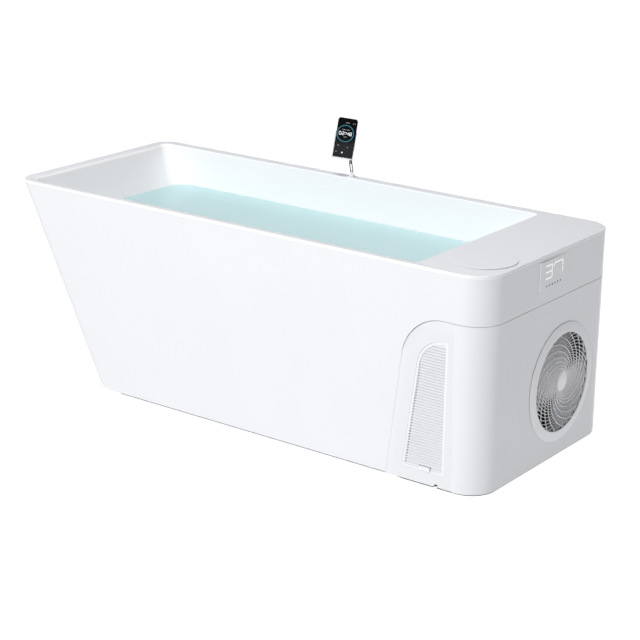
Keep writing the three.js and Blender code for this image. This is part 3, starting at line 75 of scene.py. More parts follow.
def grained(tree, shader, shades, patch_mm, grain_mm, height_mm, strength):
    """Colour that drifts between two shades over patches, and a fine relief of the grain's size and height."""
    place = add(tree, "ShaderNodeTexCoord", {})
    patch = add(tree, "ShaderNodeTexNoise", {"Scale": 1000 / patch_mm, "Detail": 3.0},
                [("Vector", place.outputs["Object"])])
    blend = add(tree, "ShaderNodeMix", {"data_type": "RGBA"}, [("Factor", patch.outputs["Fac"])])
    for socket, shade in zip([s for s in blend.inputs if s.type == "RGBA"], shades):
        socket.default_value = linear(shade)
    tree.links.new([s for s in blend.outputs if s.type == "RGBA"][0], shader.inputs["Base Color"])
    grain = add(tree, "ShaderNodeTexNoise", {"Scale": 1000 / grain_mm, "Detail": 4.0, "Roughness": 0.6},
                [("Vector", place.outputs["Object"])])
    relief = add(tree, "ShaderNodeBump", {"Strength": strength, "Distance": height_mm / 1000},
                 [("Height", grain.outputs["Fac"])])
    tree.links.new(relief.outputs["Normal"], shader.inputs["Normal"])
    return place, grain


def from_oblong(tree, place, middle, half, r):
    """How far a point lies from the core of an oblong with round corners: more than the radius is outside."""
    offset = add(tree, "ShaderNodeVectorMath", {"operation": "SUBTRACT"}, [(0, place.outputs["Object"])])
    offset.inputs[1].default_value = (*middle, 0)
    folded = add(tree, "ShaderNodeVectorMath", {"operation": "ABSOLUTE"}, [(0, offset.outputs[0])])
    past = add(tree, "ShaderNodeVectorMath", {"operation": "SUBTRACT"}, [(0, folded.outputs[0])])
    past.inputs[1].default_value = (half[0] - r, half[1] - r, 1)
    clear = add(tree, "ShaderNodeVectorMath", {"operation": "MAXIMUM"}, [(0, past.outputs[0])])
    return add(tree, "ShaderNodeVectorMath", {"operation": "LENGTH"}, [(0, clear.outputs[0])])


# Opal acrylic lit from below: an even white without shadows, except a painted shadow under the tub, where dark cards
# mask off its glow.
# Each shadow card is an oblong with round corners: its middle, half its size and the corners' radius
SHADOW_CARDS = (((0.05, 0.0), (0.6, 0.3832), 0.05), ((0.7805, 0.0), (0.1825, 0.3898), 0.09))
# The front shadow card is cut back behind the notch in the cover, so that the lit floor shows through it
SHADOW_CUT_BACK = ((0.803, -0.41), (0.006, 0.033), 0.003)
FLOOR_GLOW = 0.96
lit_opal, tree, shader = finish_of("back_lit_opal_acrylic", 0.7)
place, _ = grained(tree, shader, ("6a6a6a", "707070"), 900, 6, 0.2, 0.05)
glow = None
# painted shadow: the floor's glow is switched off inside each card and back on inside the cut-back
for middle, half, r in (*SHADOW_CARDS, SHADOW_CUT_BACK):
    away = from_oblong(tree, place, middle, half, r)
    test = "LESS_THAN" if half == SHADOW_CUT_BACK[1] else "GREATER_THAN"
    lit = add(tree, "ShaderNodeMath", {"operation": test}, [(0, away.outputs["Value"])])
    lit.inputs[1].default_value = r
    both = add(tree, "ShaderNodeMath", {"operation": "MAXIMUM" if test == "LESS_THAN" else "MULTIPLY"},
               [(0, lit.outputs[0])])
    both.inputs[1].default_value = 1.0
    if glow:
        tree.links.new(glow, both.inputs[1])
    glow = both.outputs[0]
evenly = add(tree, "ShaderNodeMath", {"operation": "MULTIPLY"}, [(0, glow)])
evenly.inputs[1].default_value = FLOOR_GLOW
shader.inputs["Emission Color"].default_value = linear("ffffff")
tree.links.new(evenly.outputs[0], shader.inputs["Emission Strength"])

# The fan's ring stands 7 mm out of the end face, so the tub's own middle is this far back from the origin
TUB_BACK = 3.5


def shape(name, points_mm, faces, material, smooth=True):
    """A mesh object from points in millimetres from the tub's own middle."""
    mesh = bpy.data.meshes.new(name)
    points = (np.asarray(points_mm, float) - (TUB_BACK, 0, 0)) / 1000
    mesh.from_pydata(points.tolist(), [], [list(map(int, f)) for f in faces])
    mesh.validate()
    mesh.polygons.foreach_set("use_smooth", [smooth] * len(mesh.polygons))
    if material:
        mesh.materials.append(material)
    made = bpy.data.objects.new(name, mesh)
    bpy.context.scene.collection.objects.link(made)
    return made


FLOOR_REACH = 30000
floor = shape("studio_floor", [(-FLOOR_REACH, -FLOOR_REACH, 0), (FLOOR_REACH, -FLOOR_REACH, 0),
                               (FLOOR_REACH, FLOOR_REACH, 0), (-FLOOR_REACH, FLOOR_REACH, 0)],
              [(0, 1, 2, 3)], lit_opal)

scene = bpy.context.scene
scene.view_settings.view_transform = "Standard"
# A white backdrop stands behind the tub and fades into a dim room on the camera's side
BACKDROP, DIM, BACKDROP_SIDE = 0.38, 0.085, (-0.8, 0.6, 0.0)
room = bpy.data.worlds.new("white_backdrop")
room.use_nodes = True
tree = room.node_tree
toward = add(tree, "ShaderNodeTexCoord", {})
facing = add(tree, "ShaderNodeVectorMath", {"operation": "DOT_PRODUCT"}, [(0, toward.outputs["Generated"])])
facing.inputs[1].default_value = BACKDROP_SIDE
fade = add(tree, "ShaderNodeMapRange", {"interpolation_type": "SMOOTHSTEP", "From Min": 0.2, "From Max": 0.8,
                                        "To Min": DIM, "To Max": BACKDROP}, [("Value", facing.outputs["Value"])])
tree.links.new(fade.outputs["Result"], tree.nodes["Background"].inputs["Strength"])
tree.nodes["Background"].inputs["Color"].default_value = linear("ffffff")
scene.world = room


def softbox(name, place, target, size, power):
    lamp = bpy.data.lights.new(name, "AREA")
    lamp.shape = "RECTANGLE"
    lamp.size, lamp.size_y = size
    lamp.energy = power
    made = bpy.data.objects.new(name, lamp)
    made.location = place
    made.rotation_euler = (Vector(target) - Vector(place)).to_track_quat("-Z", "Y").to_euler()
    scene.collection.objects.link(made)


softbox("front_key", (0.45, -14.0, 10.0), (0.1, 0.0, 0.35), (6.0, 7.0), 1330)
softbox("overhead_strip", (-0.15, -1.9, 6.2), (0.0, 0.0, 0.5), (3.6, 1.2), 258)

# The lens and place are solved from the tub's straight edges in the photograph.
CAMERA_TARGET = Vector((0.0911, -0.0333, 0.3074))
CAMERA_TURN = math.radians(36.32)
CAMERA_RISE = math.radians(18.31)
CAMERA_ROLL = math.radians(0.849)
CAMERA_AWAY = 6.2579
FOCAL_PIXELS, PICTURE_PIXELS = 1834.8, 640
lens = bpy.data.cameras.new("camera")
lens.sensor_width = 36
lens.lens = FOCAL_PIXELS / PICTURE_PIXELS * lens.sensor_width
camera = bpy.data.objects.new("camera", lens)
back = Vector((math.sin(CAMERA_TURN) * math.cos(CAMERA_RISE), -math.cos(CAMERA_TURN) * math.cos(CAMERA_RISE),
               math.sin(CAMERA_RISE)))
right = Vector((0, 0, 1)).cross(back).normalized()
up = back.cross(right)
level = Matrix((right * math.cos(CAMERA_ROLL) + up * math.sin(CAMERA_ROLL),
                up * math.cos(CAMERA_ROLL) - right * math.sin(CAMERA_ROLL), back)).transposed()
camera.matrix_world = Matrix.Translation(CAMERA_TARGET + back * CAMERA_AWAY) @ level.to_4x4()
scene.collection.objects.link(camera)
scene.camera = camera


# Base pan and feet: a grey polypropylene pan, rotational moulded, on six black rubber pads
# that are screwed up into it.
def moulded(name, shades, roughness, grain_mm=1.2, height_mm=0.04):
    """Moulded plastic: the tool's spark texture gives a fine even relief and a soft sheen."""
    made, nodes, base = finish_of(name, roughness, 1.5)
    grained(nodes, base, shades, 120, grain_mm, height_mm, 0.25)
    return made


def dress(name, material, edge_mm=0.8):
    """A CAD node keeps its shape, gets a finish, and its hard edges are broken as a real part's are."""
    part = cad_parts[name]
    part.data.materials.clear()
    part.data.materials.append(material)
    part.data.polygons.foreach_set("use_smooth", [True] * len(part.data.polygons))
    if "custom_normal" in part.data.attributes:
        part.data.attributes.remove(part.data.attributes["custom_normal"])
    weld = part.modifiers.new("weld", "WELD")
    weld.merge_threshold = 1e-5
    soften(part, edge_mm)


def soften(part, edge_mm, angle=35, segments=2, kept=None):
    """Breaks edges sharper than the angle by the given width, but not where kept says so; flat faces stay flat."""
    bevel = part.modifiers.new("broken_edges", "BEVEL")
    bevel.width = edge_mm / 1000
    bevel.segments = segments
    bevel.limit_method = "ANGLE"
    bevel.angle_limit = math.radians(angle)
    bevel.use_clamp_overlap = True
    if kept:
        bevel.limit_method = "WEIGHT"
        work = bmesh.new()
        work.from_mesh(part.data)
        weight = work.edges.layers.float.new("bevel_weight_edge")
        for edge in work.edges:
            middle = (edge.verts[0].co + edge.verts[1].co) * 500 + Vector((TUB_BACK, 0, 0))
            turn = edge.calc_face_angle(0)
            edge[weight] = float(turn > bevel.angle_limit and not kept(middle))
            edge.smooth = turn <= bevel.angle_limit or not kept(middle)
        work.to_mesh(part.data)
        work.free()
    flat = part.modifiers.new("flat_faces", "WEIGHTED_NORMAL")
    flat.weight = 60
    flat.keep_sharp = kept is not None


pan_plastic = moulded("rotomoulded_polypropylene", ("6e7176", "7b7e83"), 0.55)
pad_rubber, tree, shader = finish_of("moulded_rubber", 0.85, 1.52)
grained(tree, shader, ("141414", "1e1e1f"), 40, 0.9, 0.05, 0.4)
dress("base_pan", pan_plastic, 1.5)
for number in range(1, 7):
    dress(f"foot_{number}", pad_rubber)

# Insulation: boards of rigid foam, cut to size and glued inside the skirt and under the basin.
# Cut foam shows its cells as a fine open grain.
cut_foam, tree, shader = finish_of("rigid_foam_board", 0.95, 1.4)
grained(tree, shader, ("d2cab2", "e2dcc8"), 60, 2.0, 0.5, 0.6)
for name in ("foam_floor", "foam_front", "foam_rear", "foam_head"):
    dress(name, cut_foam, 0.5)

# Basin: one vacuum-formed acrylic moulding of rim, deck and hollow, backed with glass fibre.
# The rim has crisp edges, and the walls run down into a wide cove.
LENGTH, WIDTH, HEIGHT = 1940, 790, 705
END, SIDE = LENGTH / 2, WIDTH / 2
HEAD_RUN = 350
GAP_BELOW = 8
RIM, RIM_THICK, RIM_OUTER_R = 42, 11, 2
RIM_INNER_REAR, RIM_INNER_FRONT, RIM_INNER_HEAD, RIM_FALL = 3, 10, 12, 4.2
HEAD_CORNER_R, END_CORNER_R = 60, 96
BAY = 266
BASIN_WALL, BASIN_FLOOR, BASIN_LEAN, BASIN_DRAFT = 6, 85, 80, 22
BASIN_TOP_R, BASIN_LOW_R, BASIN_COVE = 18, 90, 60
HEAD_R_FROM_RIM = ((0, 36), (0.23, 72), (1, 90))
CAP_R, CAP_FROM_END, CAP_FROM_FRONT = 106, 124, 67
CAP_X, CAP_Y = END - CAP_FROM_END, CAP_FROM_FRONT + CAP_R - SIDE
CAP_HOLE_R = 87
DECK_UNDER = HEIGHT - RIM_THICK
EDGE_Z = HEIGHT - RIM_OUTER_R
LEAN_TOP = HEIGHT - 9

# Acrylic sheet, formed hot: a soft even sheen over a very slight orange peel
gloss_acrylic, tree, shader = finish_of("formed_acrylic_sheet", 0.42, 1.49)
place, peel = grained(tree, shader, ("f8f7f9", "fcfafb"), 260, 7.0, 0.05, 0.06)
# Only the hollow keeps the full white. Outside it the tone is a shade greyer, near the skirt's, which also paints
# down the light on the rim's outer edge, and faces that look upward there are greyer still: painted shade on the
# level rim, the deck and the cap
HOLLOW = ((-0.1178, 0.0), (0.8203, 0.3548), 0.02)
away = from_oblong(tree, place, *HOLLOW)
outer = add(tree, "ShaderNodeMath", {"operation": "GREATER_THAN"}, [(0, away.outputs["Value"])])
outer.inputs[1].default_value = HOLLOW[2]
upward = add(tree, "ShaderNodeSeparateXYZ", {}, [(0, place.outputs["Normal"])])
level = add(tree, "ShaderNodeMapRange", {"From Min": 0.8, "From Max": 0.95}, [("Value", upward.outputs["Z"])])
painted_deck_shade = add(tree, "ShaderNodeMath", {"operation": "MULTIPLY"},
             [(0, outer.outputs[0]), (1, level.outputs["Result"])])
tone = shader.inputs["Base Color"].links[0].from_socket
# painted shade: greyer outside the hollow, and greyer again where the faces look up
for share, code in ((outer, "ebedf1"), (painted_deck_shade, "e2e3e7")):
    painted_shade_mix = add(tree, "ShaderNodeMix", {"data_type": "RGBA"}, [("Factor", share.outputs[0])])
    before, after = [s for s in painted_shade_mix.inputs if s.type == "RGBA"]
    tree.links.new(tone, before)
    after.default_value = linear(code)
    tone = [s for s in painted_shade_mix.outputs if s.type == "RGBA"][0]
tree.links.new(tone, shader.inputs["Base Color"])
sheen = add(tree, "ShaderNodeMapRange", {"To Min": 0.32, "To Max": 0.42}, [("Value", peel.outputs["Fac"])])
tree.links.new(sheen.outputs["Result"], shader.inputs["Roughness"])


def ring(head, end, side, z, head_r, end_r, steps=14):
    """A level ring with rounded corners, counter-clockwise from the rear corner of the end."""
    corners = [(end - end_r, side - end_r, end_r, 0), (head + head_r, side - head_r, head_r, 90),
               (head + head_r, head_r - side, head_r, 180), (end - end_r, end_r - side, end_r, 270)]
    points = []
    for x, y, r, start in corners:
        turn = np.radians(start + np.linspace(0, 90, steps + 1))
        points.append(np.stack([x + r * np.cos(turn), y + r * np.sin(turn), np.full(steps + 1, z)], 1))
    return np.concatenate(points)


def head_x(z):
    return -END + (LEAN_TOP - z) * HEAD_RUN / (LEAN_TOP - GAP_BELOW)


def tub_ring(z, inset, toe=0):
    return ring(head_x(z) + inset + toe, END - inset, SIDE - inset, z, HEAD_CORNER_R - inset, END_CORNER_R - inset)


def basin_ring(z, grow, inset=0):
    drop = (HEIGHT - z) / (HEIGHT - BASIN_FLOOR)
    head_r = np.interp(drop, *zip(*HEAD_R_FROM_RIM)) + grow - inset
    end_r = np.interp(drop, (0, 1), (BASIN_TOP_R, BASIN_LOW_R)) + grow - inset
    return ring(head_x(z) + RIM - grow + inset, END - BAY - BASIN_LEAN * drop + grow - inset,
                SIDE - RIM - BASIN_DRAFT * drop + grow - inset, z, head_r, end_r)


def cove(grow, steps):
    """Rings from the basin's wall down its cove to the flat floor."""
    r = BASIN_COVE + grow
    turns = np.linspace(math.pi / 2, 0, steps + 1)
    return [basin_ring(BASIN_FLOOR - grow + r * (1 - math.cos(a)), grow, r * (1 - math.sin(a))) for a in turns]


def skin(rings, closed=False):
    """Points and faces of a surface through rings of equal count; it is capped unless it closes on itself."""
    count = len(rings[0])
    faces = []
    for k in range(len(rings) if closed else len(rings) - 1):
        a, b = k * count, (k + 1) % len(rings) * count
        faces += [(a + i, a + (i + 1) % count, b + (i + 1) % count, b + i) for i in range(count)]
    if not closed:
        faces += [tuple(range(count))[::-1], tuple(range((len(rings) - 1) * count, len(rings) * count))]
    return np.concatenate(rings), faces


def soft(t):
    t = np.clip(t, 0, 1)
    return t * t * (3 - 2 * t)


def rounded(r, steps):
    """Rise and inset along a rounded edge, from its side to its top."""
    turns = np.linspace(0, math.pi / 2, steps + 1)
    return [(r * math.sin(a), r * (1 - math.cos(a))) for a in turns]


def turned(profile, segments):
    """Points and faces of a profile of (radius, height) pairs turned about Z; it closes on itself or on the axis."""
    turns = np.linspace(0, 2 * math.pi, segments, endpoint=False)
    rings = [np.stack([r * np.cos(turns), r * np.sin(turns), np.full(segments, h)], 1) for r, h in profile]
    if profile[0] == profile[-1]:
        return skin(rings[:-1], closed=True)
    return skin(rings)


def outward(piece):
    """Turns a closed piece's faces outwards."""
    work = bmesh.new()
    work.from_mesh(piece.data)
    bmesh.ops.remove_doubles(work, verts=work.verts, dist=1e-6)
    bmesh.ops.recalc_face_normals(work, faces=work.faces)
    work.to_mesh(piece.data)
    work.free()
    return piece


def cut_away(piece, *tools):
    """Cuts the tools out of the piece and removes them."""
    outward(piece)
    for tool in tools:
        outward(tool)
        cutter = piece.modifiers.new("cut", "BOOLEAN")
        cutter.operation = "DIFFERENCE"
        cutter.solver = "EXACT"
        cutter.object = tool
    view = bpy.context.evaluated_depsgraph_get()
    mesh = bpy.data.meshes.new_from_object(piece.evaluated_get(view))
    piece.modifiers.clear()
    piece.data = mesh
    mesh.polygons.foreach_set("use_smooth", [True] * len(mesh.polygons))
    for tool in tools:
        bpy.data.objects.remove(tool)
    return piece


def moved(points, place, matrix=None):
    points = np.asarray(points, float)
    if matrix is not None:
        points = points @ np.array(matrix.to_3x3()).T
    return points + np.array(place)


over_edge = [ring(-END + inset, END - inset, SIDE - inset, EDGE_Z + rise, HEAD_CORNER_R - inset,
                  END_CORNER_R - inset)
             for rise, inset in rounded(RIM_OUTER_R, 6)]
# The inner edge is crisp along the rear and the deck. At the head it rolls over for the neck, and at the front
# the rim falls a little to the water, where the bather climbs in
into_basin = []
CORNER_POINTS = 15
run_in, none = soft(np.linspace(0, 1, CORNER_POINTS)), np.zeros(CORNER_POINTS)
front_share = np.concatenate([none, none, run_in, run_in[::-1]])[:, None]
head_share = np.concatenate([none, run_in, run_in[::-1], none])[:, None]
for step in range(6, -1, -1):
    rise, inset = rounded(RIM_INNER_REAR, 6)[step]
    rear = basin_ring(HEIGHT - RIM_INNER_REAR + rise, inset)
    rise, inset = rounded(RIM_INNER_FRONT, 6)[step]
    front = basin_ring(HEIGHT - RIM_FALL - RIM_INNER_FRONT + rise, inset)
    rise, inset = rounded(RIM_INNER_HEAD, 6)[step]
    head = basin_ring(HEIGHT - RIM_INNER_HEAD + rise, inset)
    into_basin.append(rear + (front - rear) * front_share + (head - rear) * head_share)
wall_heights = np.linspace(HEIGHT - RIM_INNER_HEAD, BASIN_FLOOR + BASIN_COVE, 9)
inside = [basin_ring(z, 0) for z in wall_heights[1:-1]] + cove(0, 8)
outside = cove(BASIN_WALL, 5)[::-1] + [basin_ring(DECK_UNDER, BASIN_WALL)]
rings = outside + [tub_ring(DECK_UNDER, 0)] + over_edge + into_basin + inside
basin = shape("acrylic_basin", *skin(rings), gloss_acrylic)
cap_hole, hole_faces = turned([(0, DECK_UNDER - 4), (CAP_HOLE_R, DECK_UNDER - 4), (CAP_HOLE_R, HEIGHT + 4),
                               (0, HEIGHT + 4)], 64)
cut_away(basin, shape("cap_hole", moved(cap_hole, (CAP_X, CAP_Y, 0)), hole_faces, None))
soften(basin, 0.8, 60, kept=lambda p: True)
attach(basin, "tub")
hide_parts("basin_shell")

# Skirt: the outer shell, laid up over a mould and polished. It is bonded under the rim, leans out at the head,
# and is cut away in an arch where the lower cover closes the equipment bay.
SKIRT_WALL = 6
CRISP_TO = 440  # the seam of the cover is crisp up to this height
BOND = 0.3
# Gelcoat, cured against the mould and buffed: a shade softer than the acrylic, with a faint long ripple
buffed_gelcoat, tree, shader = finish_of("buffed_white_gelcoat", 0.22, 1.49)
grained(tree, shader, ("e1e3e7", "e5e7eb"), 300, 22.0, 0.05, 0.05)

TOE_R = 22
COVER_TOP, COVER_FOOT, COVER_SHOULDER, ARCH_R = 547, 346, 299, 150
PANEL_W, PANEL_H, PANEL_Z, PANEL_R, PANEL_GAP = 186, 104, 634, 4, 0.1
INLET_X, INLET_Z, INLET_W, INLET_H = END - COVER_FOOT - 62, 92, 48, 28


def prism(outline, low, high, along):
    """Points and faces of a closed outline drawn out along an axis."""
    flat = np.asarray(outline, float)
    ends = []
    for t in (low, high):
        layer = np.full(len(flat), float(t))
        columns = {"x": (layer, flat[:, 0], flat[:, 1]), "y": (flat[:, 0], layer, flat[:, 1]),
                   "z": (flat[:, 0], flat[:, 1], layer)}
        ends.append(np.stack(columns[along], 1))
    return skin(ends)


def rounded_oblong(a0, a1, b0, b1, r, steps=6):
    """A rectangle with round corners, counter-clockwise."""
    turns = np.linspace(0, math.pi / 2, steps + 1)
    points = []
    for a, b, start in ((a1 - r, b1 - r, 0), (a0 + r, b1 - r, 1), (a0 + r, b0 + r, 2), (a1 - r, b0 + r, 3)):
        points += [(a + r * math.cos(t + start * math.pi / 2), b + r * math.sin(t + start * math.pi / 2))
                   for t in turns]
    return points


def arch(gap, steps=40):
    """The cover's outline on the side of the tub, drawn in by a gap."""
    below = 20
    rise = COVER_TOP - ARCH_R
    slope = (COVER_FOOT - COVER_SHOULDER) / rise
    middle = END - COVER_SHOULDER + ARCH_R
    turns = np.linspace(math.pi, math.pi / 2, steps + 1)
    curve = [(middle + (ARCH_R - gap) * math.cos(a), rise + (ARCH_R - gap) * math.sin(a)) for a in turns]
    return [(END - COVER_FOOT - below * slope + gap, -below)] + curve + [(END + below, COVER_TOP - gap),
                                                                         (END + below, -below)]


toes = [tub_ring(GAP_BELOW + TOE_R - rise, 0, inset / 2) for rise, inset in reversed(rounded(TOE_R, 6))]
skirt_top = DECK_UNDER - BOND / 6
skirt_rings = toes + [tub_ring(skirt_top, 0), tub_ring(skirt_top, SKIRT_WALL),
                      tub_ring(GAP_BELOW + TOE_R, SKIRT_WALL), tub_ring(GAP_BELOW, SKIRT_WALL, TOE_R / 2)]
skirt = shape("skirt_shell", *skin(skirt_rings, closed=True), buffed_gelcoat)
panel_hole = rounded_oblong(-PANEL_W / 2 - PANEL_GAP, PANEL_W / 2 + PANEL_GAP, PANEL_Z - PANEL_H / 2 - PANEL_GAP,
                            PANEL_Z + PANEL_H / 2 + PANEL_GAP, PANEL_R)
inlet_hole = rounded_oblong(INLET_X - INLET_W / 2 - BOND, INLET_X + INLET_W / 2 + BOND, INLET_Z - INLET_H / 2 - BOND,
                            INLET_Z + INLET_H / 2 + BOND, 1)
cut_away(skirt, shape("arch_cut", *prism(arch(0), -WIDTH, WIDTH, "y"), None),
         shape("panel_cut", *prism(panel_hole, END - 4 * SKIRT_WALL, END + 2, "x"), None),
         shape("inlet_cut", *prism(inlet_hole, SIDE - 4 * SKIRT_WALL, SIDE + 2, "y"), None))
soften(skirt, 1.0, 40, 3, kept=lambda p: p.z > skirt_top - 1 or GAP_BELOW + 2 < p.z < CRISP_TO
       or p.x > END - 2 * SKIRT_WALL and abs(p.y) < PANEL_W / 2 + 1 and abs(p.z - PANEL_Z) < PANEL_H / 2 + 1)
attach(skirt, "tub")
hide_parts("skirt")

# Suction and return fittings, drain, pipe and ball valve: injection-moulded ABS and PVC,
# screwed through the basin with a nut behind. The lever's grip is dipped in blue vinyl.
white_abs = moulded("injection_moulded_white_abs", ("e8eaee", "edeef2"), 0.38, 0.9, 0.02)
black_nylon = moulded("glass_filled_black_nylon", ("17181a", "222326"), 0.5, 0.7, 0.04)
grey_pvc = moulded("extruded_grey_pvc", ("83868b", "909398"), 0.42, 1.0, 0.02)
vinyl_dip = moulded("dipped_blue_vinyl", ("2a63a6", "3273bb"), 0.35, 3.0, 0.05)
for name in ("suction_fitting", "return_fitting", "drain_fitting"):
    dress(name, white_abs)
dress("drain_pipe", grey_pvc)
dress("drain_valve", black_nylon)
dress("drain_lever", vinyl_dip)

# Water, filled to a hand's breadth below the rim. Seen over the white basin it looks pale blue and even,
# and it climbs the wall by a millimetre where they meet.
WATER_Z = 562
WATER_GAP = 0.4
still_water, tree, shader = finish_of("still_cold_water", 0.16, 1.33)
grained(tree, shader, ("afcdd0", "b3d1d4"), 700, 160, 0.8, 0.05)
water_rings = cove(-WATER_GAP, 6)[::-1] + [basin_ring(WATER_Z + 1.0, -WATER_GAP), basin_ring(WATER_Z + 0.4, -1.4),
                                         basin_ring(WATER_Z, -4)]
water = outward(shape("still_water", *skin(water_rings), still_water))
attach(water, "tub")

# Chiller on its drip tray: a painted steel compressor on three rubber grommets, and a condenser of
# aluminium fins on copper tube. Soft-drawn copper lines join them.
painted_steel = moulded("powder_coated_black_steel", ("1d1f22", "27292d"), 0.45, 1.6, 0.06)
tray_plastic = moulded("vacuum_formed_grey_abs", ("85888d", "92959a"), 0.5)
drawn_copper, tree, shader = finish_of("soft_drawn_copper", 0.3, metallic=1.0)
grained(tree, shader, ("b5693c", "c87f52"), 35, 2.5, 0.02, 0.2)
rolled_fins, tree, shader = finish_of("rolled_aluminium_fins", 0.42, metallic=1.0)
grained(tree, shader, ("b9bcbf", "cfd1d3"), 25, 1.2, 0.05, 0.4)
dress("equipment_tray", tray_plastic)
dress("compressor", painted_steel, 1.2)
for number in range(1, 4):
    dress(f"grommet_{number}", pad_rubber)
dress("condenser_coil", rolled_fins, 0.3)
for name in ("discharge_line", "liquid_line", "suction_line"):
    dress(name, drawn_copper, 0.3)

# Fan: a five-blade nylon rotor on an external motor, which a zinc-plated bracket holds in a moulded shroud.
# The plating gives the bracket a pale spangled grey.
zinc_plate, tree, shader = finish_of("zinc_plated_steel", 0.36, metallic=1.0)
grained(tree, shader, ("9da1a6", "b4b7ba"), 18, 4.0, 0.03, 0.2)
dress("fan_motor", painted_steel)
dress("motor_bracket", zinc_plate, 0.6)
dress("fan_shroud", black_nylon)
dress("fan_rotor", black_nylon, 0.6)

# Circulation pump and heat exchanger, in glass-filled nylon, with hoses of black EPDM rubber pushed on.
# Extruded rubber is matt, with a faint grain.
hose_rubber, tree, shader = finish_of("extruded_epdm_rubber", 0.7, 1.52)
grained(tree, shader, ("161617", "202021"), 60, 1.5, 0.03, 0.3)
dress("pump_volute", black_nylon)
dress("pump_impeller", tray_plastic, 0.4)
dress("pump_motor", painted_steel)
dress("heat_exchanger", black_nylon)
for name in ("suction_hose", "filter_hose", "pump_riser", "return_hose"):
    dress(name, hose_rubber, 0.4)

# Filter: a canister hung under the deck, a cartridge of pleated polyester, a rubber ring,
# and a round acrylic cap that lifts out with the cartridge.
CAP_PROUD, CAP_THICK = 2.4, 1.0
PLUG_R, PLUG_DEPTH, SEAT_R = 85, 18, 98
CAP_SLOPE, CAP_TILT, CAP_LIFT = 9, 0.8, 0.85
pleated_felt, tree, shader = finish_of("pleated_polyester_felt", 0.9, 1.4)
grained(tree, shader, ("e4e8ec", "f2f4f6"), 30, 0.8, 0.15, 0.5)
dress("filter_housing", tray_plastic)
dress("filter_cartridge", pleated_felt, 0.4)
dress("cap_gasket", pad_rubber, 0.3)
under = HEIGHT + CAP_PROUD - CAP_THICK
cap_edge = [(CAP_R, HEIGHT + 1.4), (CAP_R - 0.4, HEIGHT + 1.7), (CAP_R - CAP_SLOPE, HEIGHT + CAP_PROUD - 0.15),
            (CAP_R - 2 * CAP_SLOPE, HEIGHT + CAP_PROUD)]
cap_profile = [(0, HEIGHT - PLUG_DEPTH), (PLUG_R - 2, HEIGHT - PLUG_DEPTH), (PLUG_R, HEIGHT - PLUG_DEPTH + 2),
               (PLUG_R, under), (SEAT_R, under), (SEAT_R, HEIGHT + CAP_LIFT), (CAP_R, HEIGHT + CAP_LIFT)] + cap_edge
cap_points, cap_faces = turned(cap_profile + [(0, HEIGHT + CAP_PROUD)], 96)
cap_points[:, 2] += CAP_TILT * cap_points[:, 0] / CAP_R  # the gasket lifts one side a little
cap = outward(shape("filter_cap_disc", moved(cap_points, (CAP_X, CAP_Y, 0)), cap_faces, gloss_acrylic))
soften(cap, 0.2, 50)
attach(cap, "filter")
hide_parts("filter_cap")

# Controls: a sealed box under the deck, the flush mains inlet with the lead to the box, and a display behind a
# white polycarbonate panel. Its digits and keys show through as lit strokes and dark dots.
PANEL_THICK, PANEL_OUT, FACE_BACK = 4, 4.4, 0.15
STROKE = 4.4
board_green, tree, shader = finish_of("solder_masked_circuit_board", 0.35, 1.5)
grained(tree, shader, ("174b30", "1f6140"), 12, 2.0, 0.05, 0.3)
dress("control_box", tray_plastic, 2.0)
dress("display_board", board_green, 0.3)
dress("power_inlet", black_nylon, 0.6)
dress("power_lead", hose_rubber, 0.2)


def lit_ink(name, code, glow):
    """Light from a lamp behind a thin diffuser: it glows evenly, with a faint mottle."""
    made, nodes, base = finish_of(name, 0.4)
    grained(nodes, base, (code, code), 30, 0.5, 0.01, 0.1)
    base.inputs["Emission Color"].default_value = linear(code)
    base.inputs["Emission Strength"].default_value = glow
    return made


def strokes(digit, width, height, stroke):
    """Outlines of the lit bars of a seven-bar digit, its lower left corner at the origin."""
    half, gap = stroke / 2, stroke * 0.12
    middle = height / 2
    level = lambda z: [(half + gap, z), (stroke, z - half), (width - stroke, z - half), (width - half - gap, z),
                       (width - stroke, z + half), (stroke, z + half)]
    upright = lambda a, low, high: [(a, low + gap), (a + half, low + half + gap), (a + half, high - half - gap),
                                    (a, high - gap), (a - half, high - half - gap), (a - half, low + half + gap)]
    bars = {"a": level(height - half), "g": level(middle), "d": level(half),
            "f": upright(half, middle, height - half),
            "b": upright(width - half, middle, height - half), "e": upright(half, half, middle),
            "c": upright(width - half, half, middle), "h": upright(half, 0.7 * height, height - half)}
    lit = {"0": "abcdef", "2": "abged", "3": "abgcd", "4": "fgbc", "7": "habc", "8": "abcdefg"}
    return [bars[name] for name in lit[digit]]


def merged(solids):
    """Several bodies as one set of points and faces."""
    points, faces, count = [], [], 0
    for body_points, body_faces in solids:
        points.append(np.asarray(body_points, float))
        faces += [tuple(i + count for i in face) for face in body_faces]
        count += len(body_points)
    return np.concatenate(points), faces


def on_panel(solid):
    """The panel is flush at its right edge and stands a little out at its left one, which catches the light."""
    points, faces = solid
    points[:, 0] += PANEL_OUT * np.clip(0.5 - points[:, 1] / PANEL_W, 0, 1)
    return points, faces


panel_rings = []
for depth, chamfer in ((PANEL_THICK + PANEL_OUT, 0), (FACE_BACK + PANEL_OUT, 0), (FACE_BACK, 0.5)):
    edge = rounded_oblong(-PANEL_W / 2 + chamfer, PANEL_W / 2, PANEL_Z - PANEL_H / 2, PANEL_Z + PANEL_H / 2, PANEL_R)
    panel_rings.append(np.array([(END - depth, y, z) for y, z in edge]))
panel = outward(shape("display_panel_face", *on_panel(skin(panel_rings)), buffed_gelcoat, smooth=False))
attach(panel, "tub")
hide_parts("display_panel")

